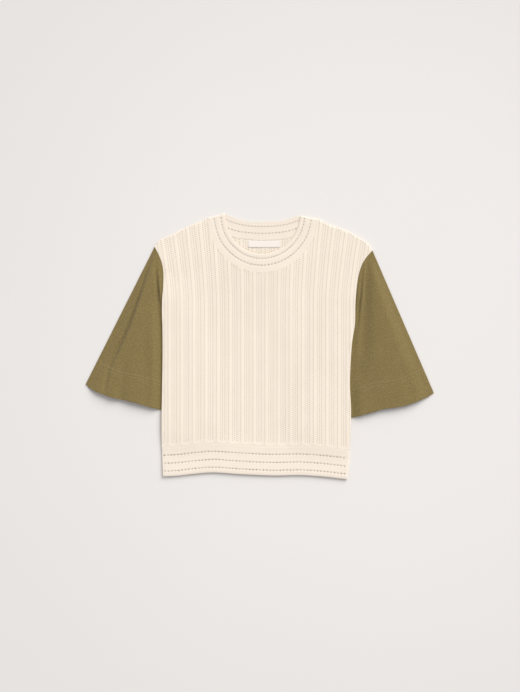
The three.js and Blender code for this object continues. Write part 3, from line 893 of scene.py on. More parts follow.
def woven_threads() -> Tree:
    """Threads crossing over and under each other, with thicker ones here and there.

    Returns:
        A group that turns a place on the cloth into the weave's height and its streaks.
    """
    kinds = {"Pattern": "NodeSocketVector", "Pitch": "NodeSocketFloat"}
    group, wiring, entry, leave = effect("woven threads", kinds, ("Height", "Streak"))
    parts = wiring.node("ShaderNodeSeparateXYZ", {0: entry.outputs["Pattern"]})
    warp = wiring.math("DIVIDE", parts.outputs[0], entry.outputs["Pitch"])
    weft = wiring.math("DIVIDE", parts.outputs[1], entry.outputs["Pitch"])
    over = wiring.minus(wiring.math("FLOOR", warp), wiring.math("FLOOR", weft))
    twill = wiring.math("LESS_THAN", wiring.math("FRACT", wiring.times(over, 1 / 3)), 0.5)
    rounds = []
    for thread in (warp, weft):
        off = wiring.math("ABSOLUTE", wiring.minus(wiring.math("FRACT", thread), 0.5))
        rounds.append(wiring.ease(off, 0.0, 0.5, 1.0, 0.0))
    low = wiring.times(rounds[1], wiring.minus(1.0, twill))
    height = wiring.math("ADD", wiring.times(rounds[0], twill), low)
    wiring.join(height, leave.inputs["Height"])
    streaks = []
    for stretch in ((0.9, 0.05, 1.0), (0.04, 0.7, 1.0)):
        moved = wiring.node("ShaderNodeMapping", {"Vector": entry.outputs["Pattern"], "Scale": stretch})
        streaks.append(wiring.noise(moved.outputs[0], 1.0, 2.0))
    both = wiring.times(wiring.math("ADD", *streaks), 0.5)
    wiring.join(both, leave.inputs["Streak"])
    return group


def use(wiring: Wiring, group: Tree, inputs: dict[str, object]) -> bpy.types.Node:
    """Places a shared effect in a material.

    Args:
        wiring: The material's wiring.
        group: The effect.
        inputs: The material's own values for it, by name.

    Returns:
        The placed group's node.
    """
    made = wiring.tree.nodes.new("ShaderNodeGroup")
    made.node_tree = group
    for name, value in inputs.items():
        wiring.join(value, made.inputs[name])
    return made


def new_material(name: str) -> tuple[Material, Wiring, bpy.types.Node]:
    """Starts a material.

    Args:
        name: The material's name.

    Returns:
        The material, its wiring and its Principled shader.
    """
    material = bpy.data.materials.new(name)
    material.use_nodes = True
    wiring = Wiring(material.node_tree)
    shader = wiring.node("ShaderNodeBsdfPrincipled", {})
    leave = wiring.node("ShaderNodeOutputMaterial", {})
    wiring.join(shader.outputs[0], leave.inputs[0])
    return material, wiring, shader


@dataclass(frozen=True)
class KnitFinish:
    """Soft spun cotton knit."""

    name: str
    colour: Colour
    # Used for the yarn's random tone, the plain ribs' tone and the painted shade between stitches
    shade: Colour
    # Painted inner shade: the darker colour of faces inside the garment, seen through the holes
    depth: Colour = (0.90, 0.78, 0.64, 1)
    # Painted shade: the dark colour painted round the real holes and eyelets
    hole: Colour = (0.50, 0.385, 0.28, 1)
    wale: float = WALE
    course: float = COURSE
    stitch_relief: float = 0.4
    fibre_relief: float = 0.12
    gap_shade_share: float = 0.22
    dot_shade_share: float = 0.0
    dot_reach: float = 1.5
    plain_share: float = 0.15
    rim_shade_share: float = 0.0
    fleck_share: float = 0.16
    sheen: float = 0.25

    def build(self, loops: Tree, fibres: Tree,
              dots: Tree) -> Material:
        """Makes the material.

        Args:
            loops: The knit stitch effect.
            fibres: The yarn effect.
            dots: The shade round the body's small holes.

        Returns:
            The material.
        """
        material, wiring, shader = new_material(self.name)
        place = wiring.pattern()[0]
        stitch = use(wiring, loops, {"Pattern": place, "Wale": self.wale, "Course": self.course})
        yarn = use(wiring, fibres, {"Pattern": place, "Fine": 2.6, "Fleck": 0.45, "Slow": 0.02})
        tone = wiring.math(
            "ADD",
            wiring.times(yarn.outputs["Tone"], 0.12),
            wiring.times(yarn.outputs["Fleck"], self.fleck_share),
        )
        warm = wiring.blend(tone, self.colour, self.shade)
        # Painted shade in the gaps between the knit stitches
        gap = wiring.times(stitch.outputs["Gap"], self.gap_shade_share)
        looped = wiring.blend(gap, warm, self.shade)
        # Painted inner shade: faces inside the garment are darkened towards the depth colour
        inner = wiring.node("ShaderNodeAttribute", {}, attribute_name=INNER_SHADE_SHARE).outputs["Fac"]
        coloured = wiring.blend(inner, looped, self.depth)
        # Painted shade round the body's mesh holes, which are also cut as real holes; the plain ribs are
        # toned a little darker
        if self.dot_shade_share:
            mesh = use(wiring, dots, {"Pattern": place, "Reach": self.dot_reach})
            plain = wiring.times(mesh.outputs["Plain"], self.plain_share)
            dot = wiring.times(mesh.outputs["Dot"], self.dot_shade_share)
            coloured = wiring.blend(dot, wiring.blend(plain, coloured, self.shade), self.hole)
        # Painted shade round the eyelet rims, which are also cut as real holes
        if self.rim_shade_share:
            rim = wiring.node("ShaderNodeAttribute", {}, attribute_name=RIM_SHADE_SHARE).outputs["Fac"]
            coloured = wiring.blend(wiring.times(rim, self.rim_shade_share), coloured, self.hole)
        wiring.join(coloured, shader.inputs["Base Color"])
        rough = wiring.ease(yarn.outputs["Height"], 0.3, 0.7, 0.8, 0.95)
        wiring.join(rough, shader.inputs["Roughness"])
        shader.inputs["Sheen Weight"].default_value = self.sheen
        shader.inputs["Sheen Roughness"].default_value = 0.6
        shader.inputs["Specular IOR Level"].default_value = 0.25
        relief = wiring.math(
            "ADD",
            wiring.times(stitch.outputs["Height"], self.stitch_relief),
            wiring.times(yarn.outputs["Height"], self.fibre_relief),
        )
        bump = wiring.node("ShaderNodeBump", {"Height": relief, "Strength": 0.8, "Distance": MM})
        wiring.join(bump.outputs[0], shader.inputs["Normal"])
        return material


@dataclass(frozen=True)
class WovenFinish:
    """Dense woven cotton."""

    name: str
    colour: Colour
    light: Colour
    # Used for the flecks and streaks, and for the painted shade where the weave dips under
    shade: Colour
    pitch: float = 0.55
    relief: float = 0.18
    fleck_share: float = 0.8
    sheen: float = 0.15

    def build(self, threads: Tree, fibres: Tree) -> Material:
        """Makes the material.

        Args:
            threads: The weave effect.
            fibres: The yarn effect.

        Returns:
            The material.
        """
        material, wiring, shader = new_material(self.name)
        place = wiring.pattern()[0]
        weave = use(wiring, threads, {"Pattern": place, "Pitch": self.pitch})
        yarn = use(wiring, fibres, {"Pattern": place, "Fine": 1.1, "Fleck": 0.33, "Slow": 0.03})
        streak = wiring.ease(weave.outputs["Streak"], 0.35, 0.65, 0.0, 1.0)
        mixed = wiring.blend(wiring.times(yarn.outputs["Tone"], 0.6), self.colour, self.light)
        fleck = wiring.times(yarn.outputs["Fleck"], self.fleck_share)
        flecked = wiring.blend(fleck, mixed, self.shade)
        streaked = wiring.blend(wiring.times(streak, 0.35), flecked, self.shade)
        # Painted shade on the threads where the weave dips under
        low = wiring.ease(weave.outputs["Height"], 0.0, 0.5, 0.5, 0.0)
        wiring.join(wiring.blend(low, streaked, self.shade), shader.inputs["Base Color"])
        rough = wiring.ease(yarn.outputs["Height"], 0.3, 0.7, 0.75, 0.92)
        wiring.join(rough, shader.inputs["Roughness"])
        shader.inputs["Sheen Weight"].default_value = self.sheen
        shader.inputs["Sheen Roughness"].default_value = 0.5
        shader.inputs["Specular IOR Level"].default_value = 0.3
        relief = wiring.math(
            "ADD",
            wiring.times(weave.outputs["Height"], self.relief),
            wiring.times(yarn.outputs["Height"], self.relief * 0.6),
        )
        bump = wiring.node("ShaderNodeBump", {"Height": relief, "Strength": 0.7, "Distance": MM})
        wiring.join(bump.outputs[0], shader.inputs["Normal"])
        return material


@dataclass(frozen=True)
class ThreadFinish:
    """Twisted sewing thread."""

    name: str
    colour: Colour
    # Painted shade in the grooves between the plies
    shade: Colour

    def build(self, fibres: Tree) -> Material:
        """Makes the material.

        Args:
            fibres: The yarn effect.

        Returns:
            The material.
        """
        material, wiring, shader = new_material(self.name)
        place, along, across = wiring.pattern()
        yarn = use(wiring, fibres, {"Pattern": place, "Fine": 3.0, "Fleck": 0.8, "Slow": 0.4})
        twist = wiring.math("FRACT", wiring.times(wiring.math("ADD", along, across), 1.4))
        # Painted shade in the grooves between the plies
        ply = wiring.ease(wiring.math("ABSOLUTE", wiring.minus(twist, 0.5)), 0.1, 0.5, 0.0, 0.6)
        wiring.join(wiring.blend(ply, self.colour, self.shade), shader.inputs["Base Color"])
        wiring.join(wiring.ease(yarn.outputs["Height"], 0.3, 0.7, 0.45, 0.65), shader.inputs["Roughness"])
        shader.inputs["Sheen Weight"].default_value = 0.2
        bump = wiring.node("ShaderNodeBump", {"Height": twist, "Strength": 0.4, "Distance": 0.2 * MM})
        wiring.join(bump.outputs[0], shader.inputs["Normal"])
        return material


@dataclass(frozen=True)
class PaperFinish:
    """The smooth pale surface under the top, with painted light falloff: darker away from a middle point."""

    name: str = "pale floor"
    colour: Colour = (0.735, 0.708, 0.687, 1)
    shade: Colour = (0.727, 0.70, 0.679, 1)
    # Painted light falloff: the floor's colour far from the middle point
    far: Colour = (0.665, 0.64, 0.621, 1)
    middle: tuple[float, float, float] = (0.24, 0.06, 0.0)

    def build(self) -> Material:
        """Makes the material.

        Returns:
            The material.
        """
        material, wiring, shader = new_material(self.name)
        place = wiring.node("ShaderNodeTexCoord", {}).outputs["Object"]
        tone = wiring.ease(wiring.noise(place, 1.5, 2.0), 0.3, 0.7, 0.0, 1.0)
        # Painted light falloff: the floor darkens away from the middle point
        reach = wiring.node("ShaderNodeVectorMath", {0: place, 1: self.middle}, operation="DISTANCE")
        away = wiring.ease(reach.outputs["Value"], 0.25, 1.15, 0.0, 1.0)
        near = wiring.blend(tone, self.colour, self.shade)
        wiring.join(wiring.blend(away, near, self.far), shader.inputs["Base Color"])
        shader.inputs["Roughness"].default_value = 0.9
        shader.inputs["Specular IOR Level"].default_value = 0.1
        return material


class Finishes:
    """All the top's materials, built once."""

    def __init__(self) -> None:
        """Builds the shared effects and the materials."""
        loops, fibres, dots, threads = knit_loops(), yarn_fibres(), mesh_dots(), woven_threads()
        # cream_shade gives the yarn's random tone and the painted shade between stitches
        cream, cream_shade = (0.945, 0.848, 0.728, 1), (0.80, 0.68, 0.55, 1)
        self.body_knit = KnitFinish("cream body knit", cream, cream_shade, dot_shade_share=0.85).build(
            loops, fibres, dots
        )
        self.band_knit = KnitFinish(
            "cream band knit", (0.82, 0.731, 0.626, 1), (0.72, 0.62, 0.51, 1), wale=2.0, course=3.2,
            stitch_relief=0.2, gap_shade_share=0.12, rim_shade_share=0.75,
        ).build(loops, fibres, dots)
        self.olive = WovenFinish(
            "olive woven cotton", (0.255, 0.188, 0.069, 1), (0.285, 0.212, 0.082, 1), (0.167, 0.121, 0.039, 1)
        ).build(threads, fibres)
        self.olive_thread = ThreadFinish(
            "olive thread", (0.32, 0.25, 0.115, 1), (0.22, 0.165, 0.065, 1)
        ).build(fibres)
        self.cream_thread = ThreadFinish(
            "cream thread", (0.86, 0.77, 0.66, 1), (0.7, 0.6, 0.5, 1)
        ).build(fibres)
        self.yarn = ThreadFinish(
            "cream linking yarn", (0.95, 0.85, 0.72, 1), (0.84, 0.73, 0.60, 1)
        ).build(fibres)
        # A real linking chain, coloured darker to paint the shadow line along the back neck seam
        self.seam_yarn_painted_shadow = ThreadFinish(
            "beige seam yarn", (0.62, 0.51, 0.40, 1), (0.5, 0.4, 0.3, 1)
        ).build(fibres)
        self.label = WovenFinish(
            "white woven tape", (0.84, 0.77, 0.71, 1), (0.86, 0.79, 0.73, 1), (0.76, 0.69, 0.63, 1),
            pitch=0.35, relief=0.08, fleck_share=0.1,
        ).build(threads, fibres)
        self.floor = PaperFinish().build()


# Pieces


def edge_drop(distance: Array) -> Array:
    """How far a cloth's rounded edge falls below its face.

    Args:
        distance: Distances from the edge.

    Returns:
        The fall at each place.
    """
    share = 1 - np.clip(distance / EDGE_ROUND, 0, 1)
    return EDGE_DROP * (1 - np.sqrt(1 - share**2))


def inset_rows(outline: Array, offsets: tuple[float, ...]) -> Array:
    """Points inside a closed outline, in rows that follow it.

    Args:
        outline: The outline's corners, running anticlockwise.
        offsets: How far inside each row is.

    Returns:
        The points that lie their whole offset inside.
    """
    ahead = np.roll(outline, -1, axis=0) - np.roll(outline, 1, axis=0)
    inward = pairs(-ahead[:, 1], ahead[:, 0]) / np.linalg.norm(ahead, axis=1)[:, None]
    closed = joined_up(outline)
    rows = []
    for offset in offsets:
        row = outline + inward * offset
        rows.append(row[measure_from(closed, row)[0] > 0.93 * offset])
    return np.concatenate(rows)


def ridge_marks(spots: Array, ridges: tuple[float, ...], half: float, width: float) -> list:
    """The points that carry a band's ridges.

    Args:
        spots: Places along the band.
        ridges: Where the ridges are across it.
        half: Half a ridge's width.
        width: The band's width.

    Returns:
        A row of points for each ridge's top and for each of its feet.
    """
    places = [row + off for row in ridges for off in (-half, 0.0, half)]
    return [pairs(spots, np.full(len(spots), at)) for at in places if 0.5 < at < width - 0.5]


def thin_out(points: Array, step: float) -> Array:
    """A closed or open line without points that crowd each other.

    Args:
        points: The line's points.
        step: The least distance between neighbours.

    Returns:
        The points that are kept.
    """
    kept = [points[0]]
    for point in points[1:]:
        if np.linalg.norm(point - kept[-1]) > step:
            kept.append(point)
    return np.array(kept)


def inner_shade_shares(layer: Layer, x: Array, y: Array) -> Array:
    """How far inside the garment the points of a body layer's two faces are, as shares of painted inner
    shade.

    Args:
        layer: The layer.
        x: Places across the plan.
        y: Places up the plan.

    Returns:
        Shares for the upper face and then for the lower one.
    """
    if layer is Layer.FRONT:
        return np.concatenate([np.zeros(len(x)), np.ones(len(x))])
    opening = NECKLINES[Layer.FRONT].edges(np.linspace(0, 1, 60))[1]
    corners = np.array([[opening[-1, 0], 300.0], [opening[0, 0], 300.0]])
    ring = np.vstack([opening, corners])
    points = pairs(x, y)
    away = measure_from(opening, points)[0]
    covered = np.where(inside(ring, points), 0.0, smooth(2, 12, away))
    return np.concatenate([covered, np.zeros(len(x))])


@dataclass
class KnitPanel:
    """A layer of the body above its hem band: mesh columns between plain ribs."""

    layer: Layer
    name: str
    node: str
    flat_width: float = 460.0
    flat_length: float = 548.0
    band: float = BAND_HEIGHT
    hole_pitch: float = HOLE_PITCH
    column_gap: float = COLUMN_GAP
    hole_radius: float = 0.62
    single_radius: float = 0.5
    edge_clear: float = 2.6
    dimple: float = 0.35
    thickness: float = 1.65
    seed: int = 5

    def outline(self) -> Array:
        """The panel's outline on the unspread cloth, anticlockwise.

        Returns:
            The outline's corners.
        """
        foot_left = PLAN.hem_y(np.array([-205.0]))[0] + self.band
        foot_right = PLAN.hem_y(np.array([187.0]))[0] + self.band
        left = LEFT_LINE[LEFT_LINE[:, 1] > foot_left + 2]
        right = RIGHT_LINE[RIGHT_LINE[:, 1] > foot_right + 2]
        x = np.linspace(
            PLAN.edge_x(Side.LEFT, np.array([foot_left]))[0],
            PLAN.edge_x(Side.RIGHT, np.array([foot_right]))[0],
            90,
        )
        bottom = pairs(x, PLAN.hem_y(x) + self.band)
        shoulders = [
            smooth_line(pairs(rows.x, rows.y), 4)[::-1] for rows in (RIGHT_SHOULDER, LEFT_SHOULDER)
        ]
        neck = NECKLINES[self.layer].panel_edge(140)[::-1]
        ring = [bottom, right, shoulders[0], neck, shoulders[1], left[::-1]]
        line = thin_out(np.concatenate(ring), 0.9)
        if np.linalg.norm(line[0] - line[-1]) < 0.9:
            line = line[:-1]
        return pairs(line[:, 0] / PLAN.spread(line[:, 1]), line[:, 1])

    def holes(self, outline: Array) -> tuple[Array, Array]:
        """The mesh columns' holes.

        Args:
            outline: The panel's outline.

        Returns:
            The holes' centres and radii.
        """
        random = np.random.default_rng(self.seed)
        gap, half = self.column_gap, self.hole_pitch / 2
        shift = half if self.layer is Layer.BACK else 0.0
        columns = ((-gap, 0.0, self.hole_radius), (0.0, half, self.hole_radius),
                   (gap, 0.0, self.hole_radius), (RIB_PITCH / 2, half, self.single_radius))
        centres, radii = [], []
        for rib in range(-9, 10):
            for across, lift, radius in columns:
                column = RIB_CENTRE + rib * RIB_PITCH + across
                up = FIRST_HOLE + lift + shift + self.hole_pitch * np.arange(120)
                x = np.full(len(up), column) + random.normal(0, 0.08, len(up))
                centres.append(pairs(x, PLAN.hem_y(x) + up + random.normal(0, 0.12, len(up))))
                radii.append(radius * random.uniform(0.85, 1.12, len(up)))
        centres, radii = np.concatenate(centres), np.concatenate(radii)
        closed = joined_up(outline)
        kept = inside(outline, centres) & (measure_from(closed, centres)[0] > self.edge_clear)
        return centres[kept], radii[kept]

    def marks(self) -> Array:
        """The points that carry the ribs' relief.

        Returns:
            The points on the unspread cloth.
        """
        up = self.band + 5 + 8.8 * np.arange(60)
        rows = []
        for rib in range(-9, 10):
            for across in (-PLAIN_FROM_CENTRE, -MESH_HALF_WIDTH, MESH_HALF_WIDTH, PLAIN_FROM_CENTRE):
                x = np.full(len(up), RIB_CENTRE + rib * RIB_PITCH + across)
                rows.append(pairs(x, PLAN.hem_y(x) + up))
        return np.concatenate(rows)

    def heights(self, x: Array, y: Array, column: Array, edge: Array,
                neck: Array) -> tuple[Array, Array]:
        """The heights of the panel's two faces.

        Args:
            x: Places across the plan.
            y: Places up the plan.
            column: Places across the unspread cloth.
            edge: Distances from the panel's outline.
            neck: Distances from its neckline.

        Returns:
            The upper and lower faces' heights.
        """
        soft = smooth(0, EDGE_ROUND, edge)
        if self.layer is Layer.BACK:
            under = PLAN.back_under(x, y)
            return under + KNIT_WALL - edge_drop(edge) * 0.4, under
        under = PLAN.front_under(x, y)
        relief = PLAN.rib_rise(column) * soft
        seamed = smooth(0.5, 5, neck) * smooth(0.5, 5, y - PLAN.hem_y(x) - self.band)
        upper = under + KNIT_WALL + relief - edge_drop(edge) * seamed
        lower = under + (KNIT_WALL - self.thickness) * soft
        return upper, lower

    def build(self, finishes: Finishes) -> Piece:
        """Makes and dresses the panel.

        Args:
            finishes: The top's materials.

        Returns:
            The piece.
        """
        outline = self.outline()
        centres, radii = self.holes(outline)
        marks = np.concatenate([self.marks(), inset_rows(outline, (0.7, 1.5, 2.4, 3.4, 4.8))])
        flat = FlatPattern(outline, centres, radii, marks=marks, clear=0.45)
        points, triangles, hole = flat.cut()
        column, y = points.T
        x = column * PLAN.spread(y)
        edge = measure_from(joined_up(outline), points)[0]
        neck = measure_from(NECKLINES[self.layer].panel_edge(90), pairs(x, y))[0]
        upper, lower = self.heights(x, y, column, edge, neck)
        upper = upper - self.dimple * (hole >= 0)
        shape = two_faces(x, y, upper, lower)
        lift = self.hole_pitch / 2 if self.layer is Layer.BACK else 0.0
        pattern = np.tile(pairs(column, y - PLAN.hem_y(column) - lift), (2, 1))
        # The faces hidden inside the garment take the painted inner shade
        piece = make_piece(
            self.name, shape, shell_faces(triangles, len(points)), pattern, finishes.body_knit,
            hidden=inner_shade_shares(self.layer, x, y),
        )
        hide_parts(self.node)
        return piece


@dataclass
class HemBand:
    """The eyelet band knitted on along the hem of one layer."""

    layer: Layer
    name: str
    height: float = 62.4
    eyelet_rows: tuple[float, ...] = (10.7, 27.0, 44.0)
    eyelet_pitch: float = 7.1
    eyelet_radius: float = 1.2
    collar: float = 0.8
    ridge_rows: tuple[float, ...] = (3.2, 6.4, 15.0, 19.0, 23.0, 31.3, 35.5, 39.6, 48.5, 52.5, 56.5)
    ridge: float = 0.32
    ridge_half: float = 1.7
    hollow: float = 0.2
    thickness: float = 1.6
    seed: int = 11

    def outline(self) -> Array:
        """The band's outline, x along the hem and up from it, anticlockwise.

        Returns:
            The outline's corners.
        """
        up = np.linspace(0, self.height, 14)
        left = PLAN.edge_x(Side.LEFT, PLAN.hem_y(np.array([-204.0])) + up)
        right = PLAN.edge_x(Side.RIGHT, PLAN.hem_y(np.array([185.0])) + up)
        x = np.linspace(left[0], right[0], 160)
        top = np.linspace(right[-1], left[-1], 160)
        sides = [pairs(right[1:-1], up[1:-1]), pairs(left[1:-1], up[1:-1])[::-1]]
        return np.concatenate(
            [pairs(x, np.zeros(160)), sides[0], pairs(top, np.full(160, self.height)), sides[1]]
        )

    def holes(self) -> tuple[Array, Array]:
        """The eyelets.

        Returns:
            Their centres and radii.
        """
        random = np.random.default_rng(self.seed)
        centres, radii = [], []
        for number, up in enumerate(self.eyelet_rows):
            y = PLAN.hem_y(np.array([-204.0, 185.0])) + up
            start = PLAN.edge_x(Side.LEFT, y[:1])[0] + 5.0 + 0.8 * (number % 2)
            end = PLAN.edge_x(Side.RIGHT, y[1:])[0] - 4.0
            x = np.arange(start, end, self.eyelet_pitch)
            x = x + random.normal(0, 0.2, len(x))
            centres.append(pairs(x, up + random.normal(0, 0.2, len(x))))
            radii.append(self.eyelet_radius * random.uniform(0.8, 1.1, len(x)))
        return np.concatenate(centres), np.concatenate(radii)

    def marks(self, outline: Array) -> Array:
        """The points that carry the band's ridges.

        Args:
            outline: The band's outline.

        Returns:
            The points.
        """
        x = np.arange(outline[:, 0].min(), outline[:, 0].max(), 4.6)
        rows = ridge_marks(x, self.ridge_rows, self.ridge_half, self.height)
        rows.append(inset_rows(outline, (0.7, 1.6, 2.8)))
        return np.concatenate(rows)

    def relief(self, up: Array) -> Array:
        """Height of the ridges.

        Args:
            up: Heights up the band.

        Returns:
            The ridges' height at each.
        """
        rows = np.array(self.ridge_rows)
        near = np.abs(up[:, None] - rows[None]).min(1)
        return self.ridge * (1 - smooth(0.3, self.ridge_half, near))

    def build(self, finishes: Finishes) -> Piece:
        """Makes and dresses the band.

        Args:
            finishes: The top's materials.

        Returns:
            The piece.
        """
        outline = self.outline()
        centres, radii = self.holes()
        flat = FlatPattern(
            outline, centres, radii, hole_corners=10, collar=self.collar, marks=self.marks(outline), clear=0.4
        )
        points, triangles, hole = flat.cut()
        x, up = points.T
        y = PLAN.hem_y(x) + up
        rounded = np.vstack([outline[-13:], outline[:173]])
        edge = measure_from(rounded, points)[0]
        if self.layer is Layer.FRONT:
            under = PLAN.front_under(x, y)
            soft = smooth(0, EDGE_ROUND, edge)
            upper = under + KNIT_WALL + self.relief(up) * soft - edge_drop(edge) - self.hollow * (hole >= 0)
            lower = under + (KNIT_WALL - self.thickness) * soft
        else:
            lower = PLAN.back_under(x, y)
            upper = lower + KNIT_WALL - 0.4 * edge_drop(edge)
        shape = two_faces(x, y, upper, lower)
        # Hidden faces take the painted inner shade; eyelet rims take painted shade
        piece = make_piece(
            self.name, shape, shell_faces(triangles, len(points)), np.tile(points, (2, 1)),
            finishes.band_knit, hidden=inner_shade_shares(self.layer, x, y), opening=np.tile(hole >= 0, 2),
        )
        return piece


@dataclass
class NeckBand:
    """The eyelet band round the neck: one ring, folded at both shoulders."""

    name: str = "neckband_knit"
    width: float = 38.0
    eyelet_pitch: float = 7.0
    eyelet_rows: tuple[float, ...] = (0.37, 0.75)
    eyelet_radius: float = 1.15
    collar: float = 0.75
    ridge_rows: tuple[float, ...] = (1.6, 4.8, 8.0, 18.4, 22.0, 33.0, 36.2)
    ridge: float = 0.22
    ridge_half: float = 1.5
    hollow: float = 0.2
    thickness: float = 1.6
    fold_centre: float = KNIT_WALL + LAYER_GAP / 2
    seed: int = 23

    def spans(self) -> dict[Layer, tuple[float, Array, Array]]:
        """The middle line of each half.

        Returns:
            For each layer its length, and matching places along it and shares of its curve.
        """
        share = np.linspace(0, 1, 400)
        found = {}
        for layer, neckline in NECKLINES.items():
            seam, free = neckline.edges(share)
            middle = (seam + free) / 2
            reach = running(middle)
            found[layer] = (float(reach[-1]), reach, share)
        return found

    def place(self, along: Array, up: Array, relief: Array,
              inner: bool) -> tuple[Array, Array, Array]:
        """Lays points of the flat band in place.

        Args:
            along: Places along the ring, from the left fold over the front.
            up: Places from the sewn edge to the free edge.
            relief: Heights added to the outer face.
            inner: True for the inner face.

        Returns:
            The points' x, y and z.
        """
        spans = self.spans()
        front, back = spans[Layer.FRONT][0], spans[Layer.BACK][0]
        turn = FOLD_TURN
        share_up = (up / self.width)[:, None]
        x, y, z = (np.zeros(len(along)) for _ in range(3))
        depth = KNIT_WALL - self.thickness if inner else 0.0

        on_front = along <= front
        seam, free = NECKLINES[Layer.FRONT].edges(np.interp(along, *spans[Layer.FRONT][1:]))
        flat = seam + (free - seam) * share_up
        under = PLAN.front_under(flat[:, 0], flat[:, 1]) - PLAN.back_under(flat[:, 0], flat[:, 1])
        tall = under + (depth if inner else KNIT_WALL + relief)
        x[on_front], y[on_front], z[on_front] = (v[on_front] for v in (*flat.T, tall))

        returning = front + turn + back - along
        on_back = (along >= front + turn) & (along <= front + turn + back)
        seam, free = NECKLINES[Layer.BACK].edges(
            np.interp(np.clip(returning, 0, back), *spans[Layer.BACK][1:])
        )
        flat = seam + (free - seam) * share_up
        tall = np.full(len(along), KNIT_WALL) if inner else np.maximum(0, -relief)
        x[on_back], y[on_back], z[on_back] = (v[on_back] for v in (*flat.T, tall))

        for end, angle in ((-1, (along - front) / turn), (0, 1 - (along - front - turn - back) / turn)):
            here = (angle > 0) & (angle < 1) & ~on_front & ~on_back
            seam, free = NECKLINES[Layer.FRONT].edges(np.array([0.0 if end == 0 else 1.0]))
            flat = seam + (free - seam) * share_up
            radius = LAYER_GAP / 2 + (depth if inner else KNIT_WALL + relief * np.cos(angle * math.pi / 2))
            bend = np.sin(angle * math.pi) * radius
            flat = flat + NECKLINES[Layer.FRONT].away(end) * bend[:, None]
            tall = self.fold_centre + np.cos(angle * math.pi) * radius
            x[here], y[here], z[here] = (v[here] for v in (*flat.T, tall))
        return x, y, z

    def flat(self, length: float, folds: tuple[float, float]) -> FlatPattern:
        """The band's flat pattern.

        Args:
            length: Its length round the neck.
            folds: Where the right and left shoulder folds start.

        Returns:
            The pattern.
        """
        random = np.random.default_rng(self.seed)
        count = round(length / self.eyelet_pitch)
        pitch = length / count
        centres, radii = [], []
        for number, row in enumerate(self.eyelet_rows):
            along = (np.arange(count) + 0.5 + 0.25 * (number % 2)) * pitch
            along = along + random.normal(0, 0.15, count)
            up = row * self.width + random.normal(0, 0.15, count)
            centres.append(pairs(along, up))
            radii.append(self.eyelet_radius * random.uniform(0.85, 1.08, count))
        steps = max(4, round(length / 3))
        along = np.linspace(0, length, steps)
        up = np.linspace(0, self.width, 13)
        outline = np.concatenate([
            pairs(along, np.zeros(steps)),
            pairs(np.full(11, length), up[1:-1]),
            pairs(along[::-1], np.full(steps, self.width)),
            pairs(np.zeros(11), up[1:-1][::-1]),
        ])
        rows = [inset_rows(outline, (0.6, 1.4))]
        spots = np.arange(2.3, length - 2, 3.4)
        rows += ridge_marks(spots, self.ridge_rows, self.ridge_half, self.width)
        for fold in folds:
            for off in np.linspace(0.0, FOLD_TURN, 7):
                rows.append(pairs(np.full(20, fold + off), np.linspace(1.2, self.width - 1.2, 20)))
        return FlatPattern(
            outline, np.concatenate(centres), np.concatenate(radii), hole_corners=8, collar=self.collar,
            marks=np.concatenate(rows), clear=0.35,
        )

    def relief(self, up: Array) -> Array:
        """Height of the band's ridges and its rounded free edge.

        Args:
            up: Places from the sewn edge to the free edge.

        Returns:
            The height at each, negative at the free edge.
        """
        rows = np.array(self.ridge_rows)
        near = np.abs(up[:, None] - rows[None]).min(1)
        raised = self.ridge * (1 - smooth(0.2, self.ridge_half, near))
        return raised - 0.5 * (1 - np.clip((self.width - up) / 2.2, 0, 1)) ** 2

    def build(self, finishes: Finishes) -> Piece:
        """Makes and dresses the neckband.

        Args:
            finishes: The top's materials.

        Returns:
            The piece.
        """
        spans = self.spans()
        front, back = spans[Layer.FRONT][0], spans[Layer.BACK][0]
        turn = FOLD_TURN
        length = front + back + 2 * turn
        points, triangles, hole = self.flat(length, (front, front + turn + back)).cut()
        along, up = points.T
        end = {round(v, 4): k for k, v in enumerate(up) if along[k] < 1e-6}
        joined = np.arange(len(points))
        for k in np.flatnonzero(along > length - 1e-6):
            joined[k] = end[round(up[k], 4)]
        triangles = joined[triangles]
        relief = self.relief(up) - self.hollow * (hole >= 0)
        faces = [np.stack(self.place(along, up, relief, inner), axis=1) for inner in (False, True)]
        on_back = smooth(front, front + turn, along) * (1 - smooth(length - turn, length, along))
        # Faces that lie against the back layer or the floor take the painted inner shade; eyelet rims take
        # painted shade
        piece = make_piece(
            self.name, np.concatenate(faces), shell_faces(triangles, len(points)),
            np.tile(points, (2, 1)), finishes.band_knit, hidden=np.concatenate([on_back, 1 - on_back]),
            opening=np.tile(hole >= 0, 2),
        )
        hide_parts("neckband")
        links = [front_neck_link(finishes), back_neck_link(finishes)]
        return piece


@dataclass
class Fold:
    """A fold in a sleeve: its path, its depth and how wide its walls are on each side."""

    path: np.recarray
    body_lip: float = 0.0
    outer_lip: float = 0.0
    lip_at: float = 5.0

    def line(self) -> Array:
        """The fold's smooth path."""
        return smooth_line(pairs(self.path.x, self.path.y), 3)

    def shape(self, points: Array, side: Side) -> Array:
        """The fold's own height over the sleeve.

        Args:
            points: Places in the plan.
            side: The sleeve's side.

        Returns:
            The height at each place, negative in the trough.
        """
        line = self.line()
        distance, signed, place = measure_from(line, points)
        toward_body = signed * (1 if side is Side.LEFT else -1) > 0
        shares = row_places(self.path, line)
        depth, body, outer = (
            np.interp(place, shares, column) for column in (self.path.depth, self.path.body, self.path.outer)
        )
        wall = np.where(toward_body, body, outer)
        lip = np.where(toward_body, self.body_lip, self.outer_lip)
        raised = lip * np.exp(-(((distance - self.lip_at) / (self.lip_at * 0.6)) ** 2))
        return depth * (raised - np.exp(-((distance / wall) ** 2)))


def row_places(path: np.recarray, line: Array) -> Array:
    """Where a path's rows lie on its smooth line.

    Args:
        path: The path's rows.
        line: The smooth line through them.

    Returns:
        A rising share of the line for each row.
    """
    return measure_from(line, pairs(path.x, path.y))[2]


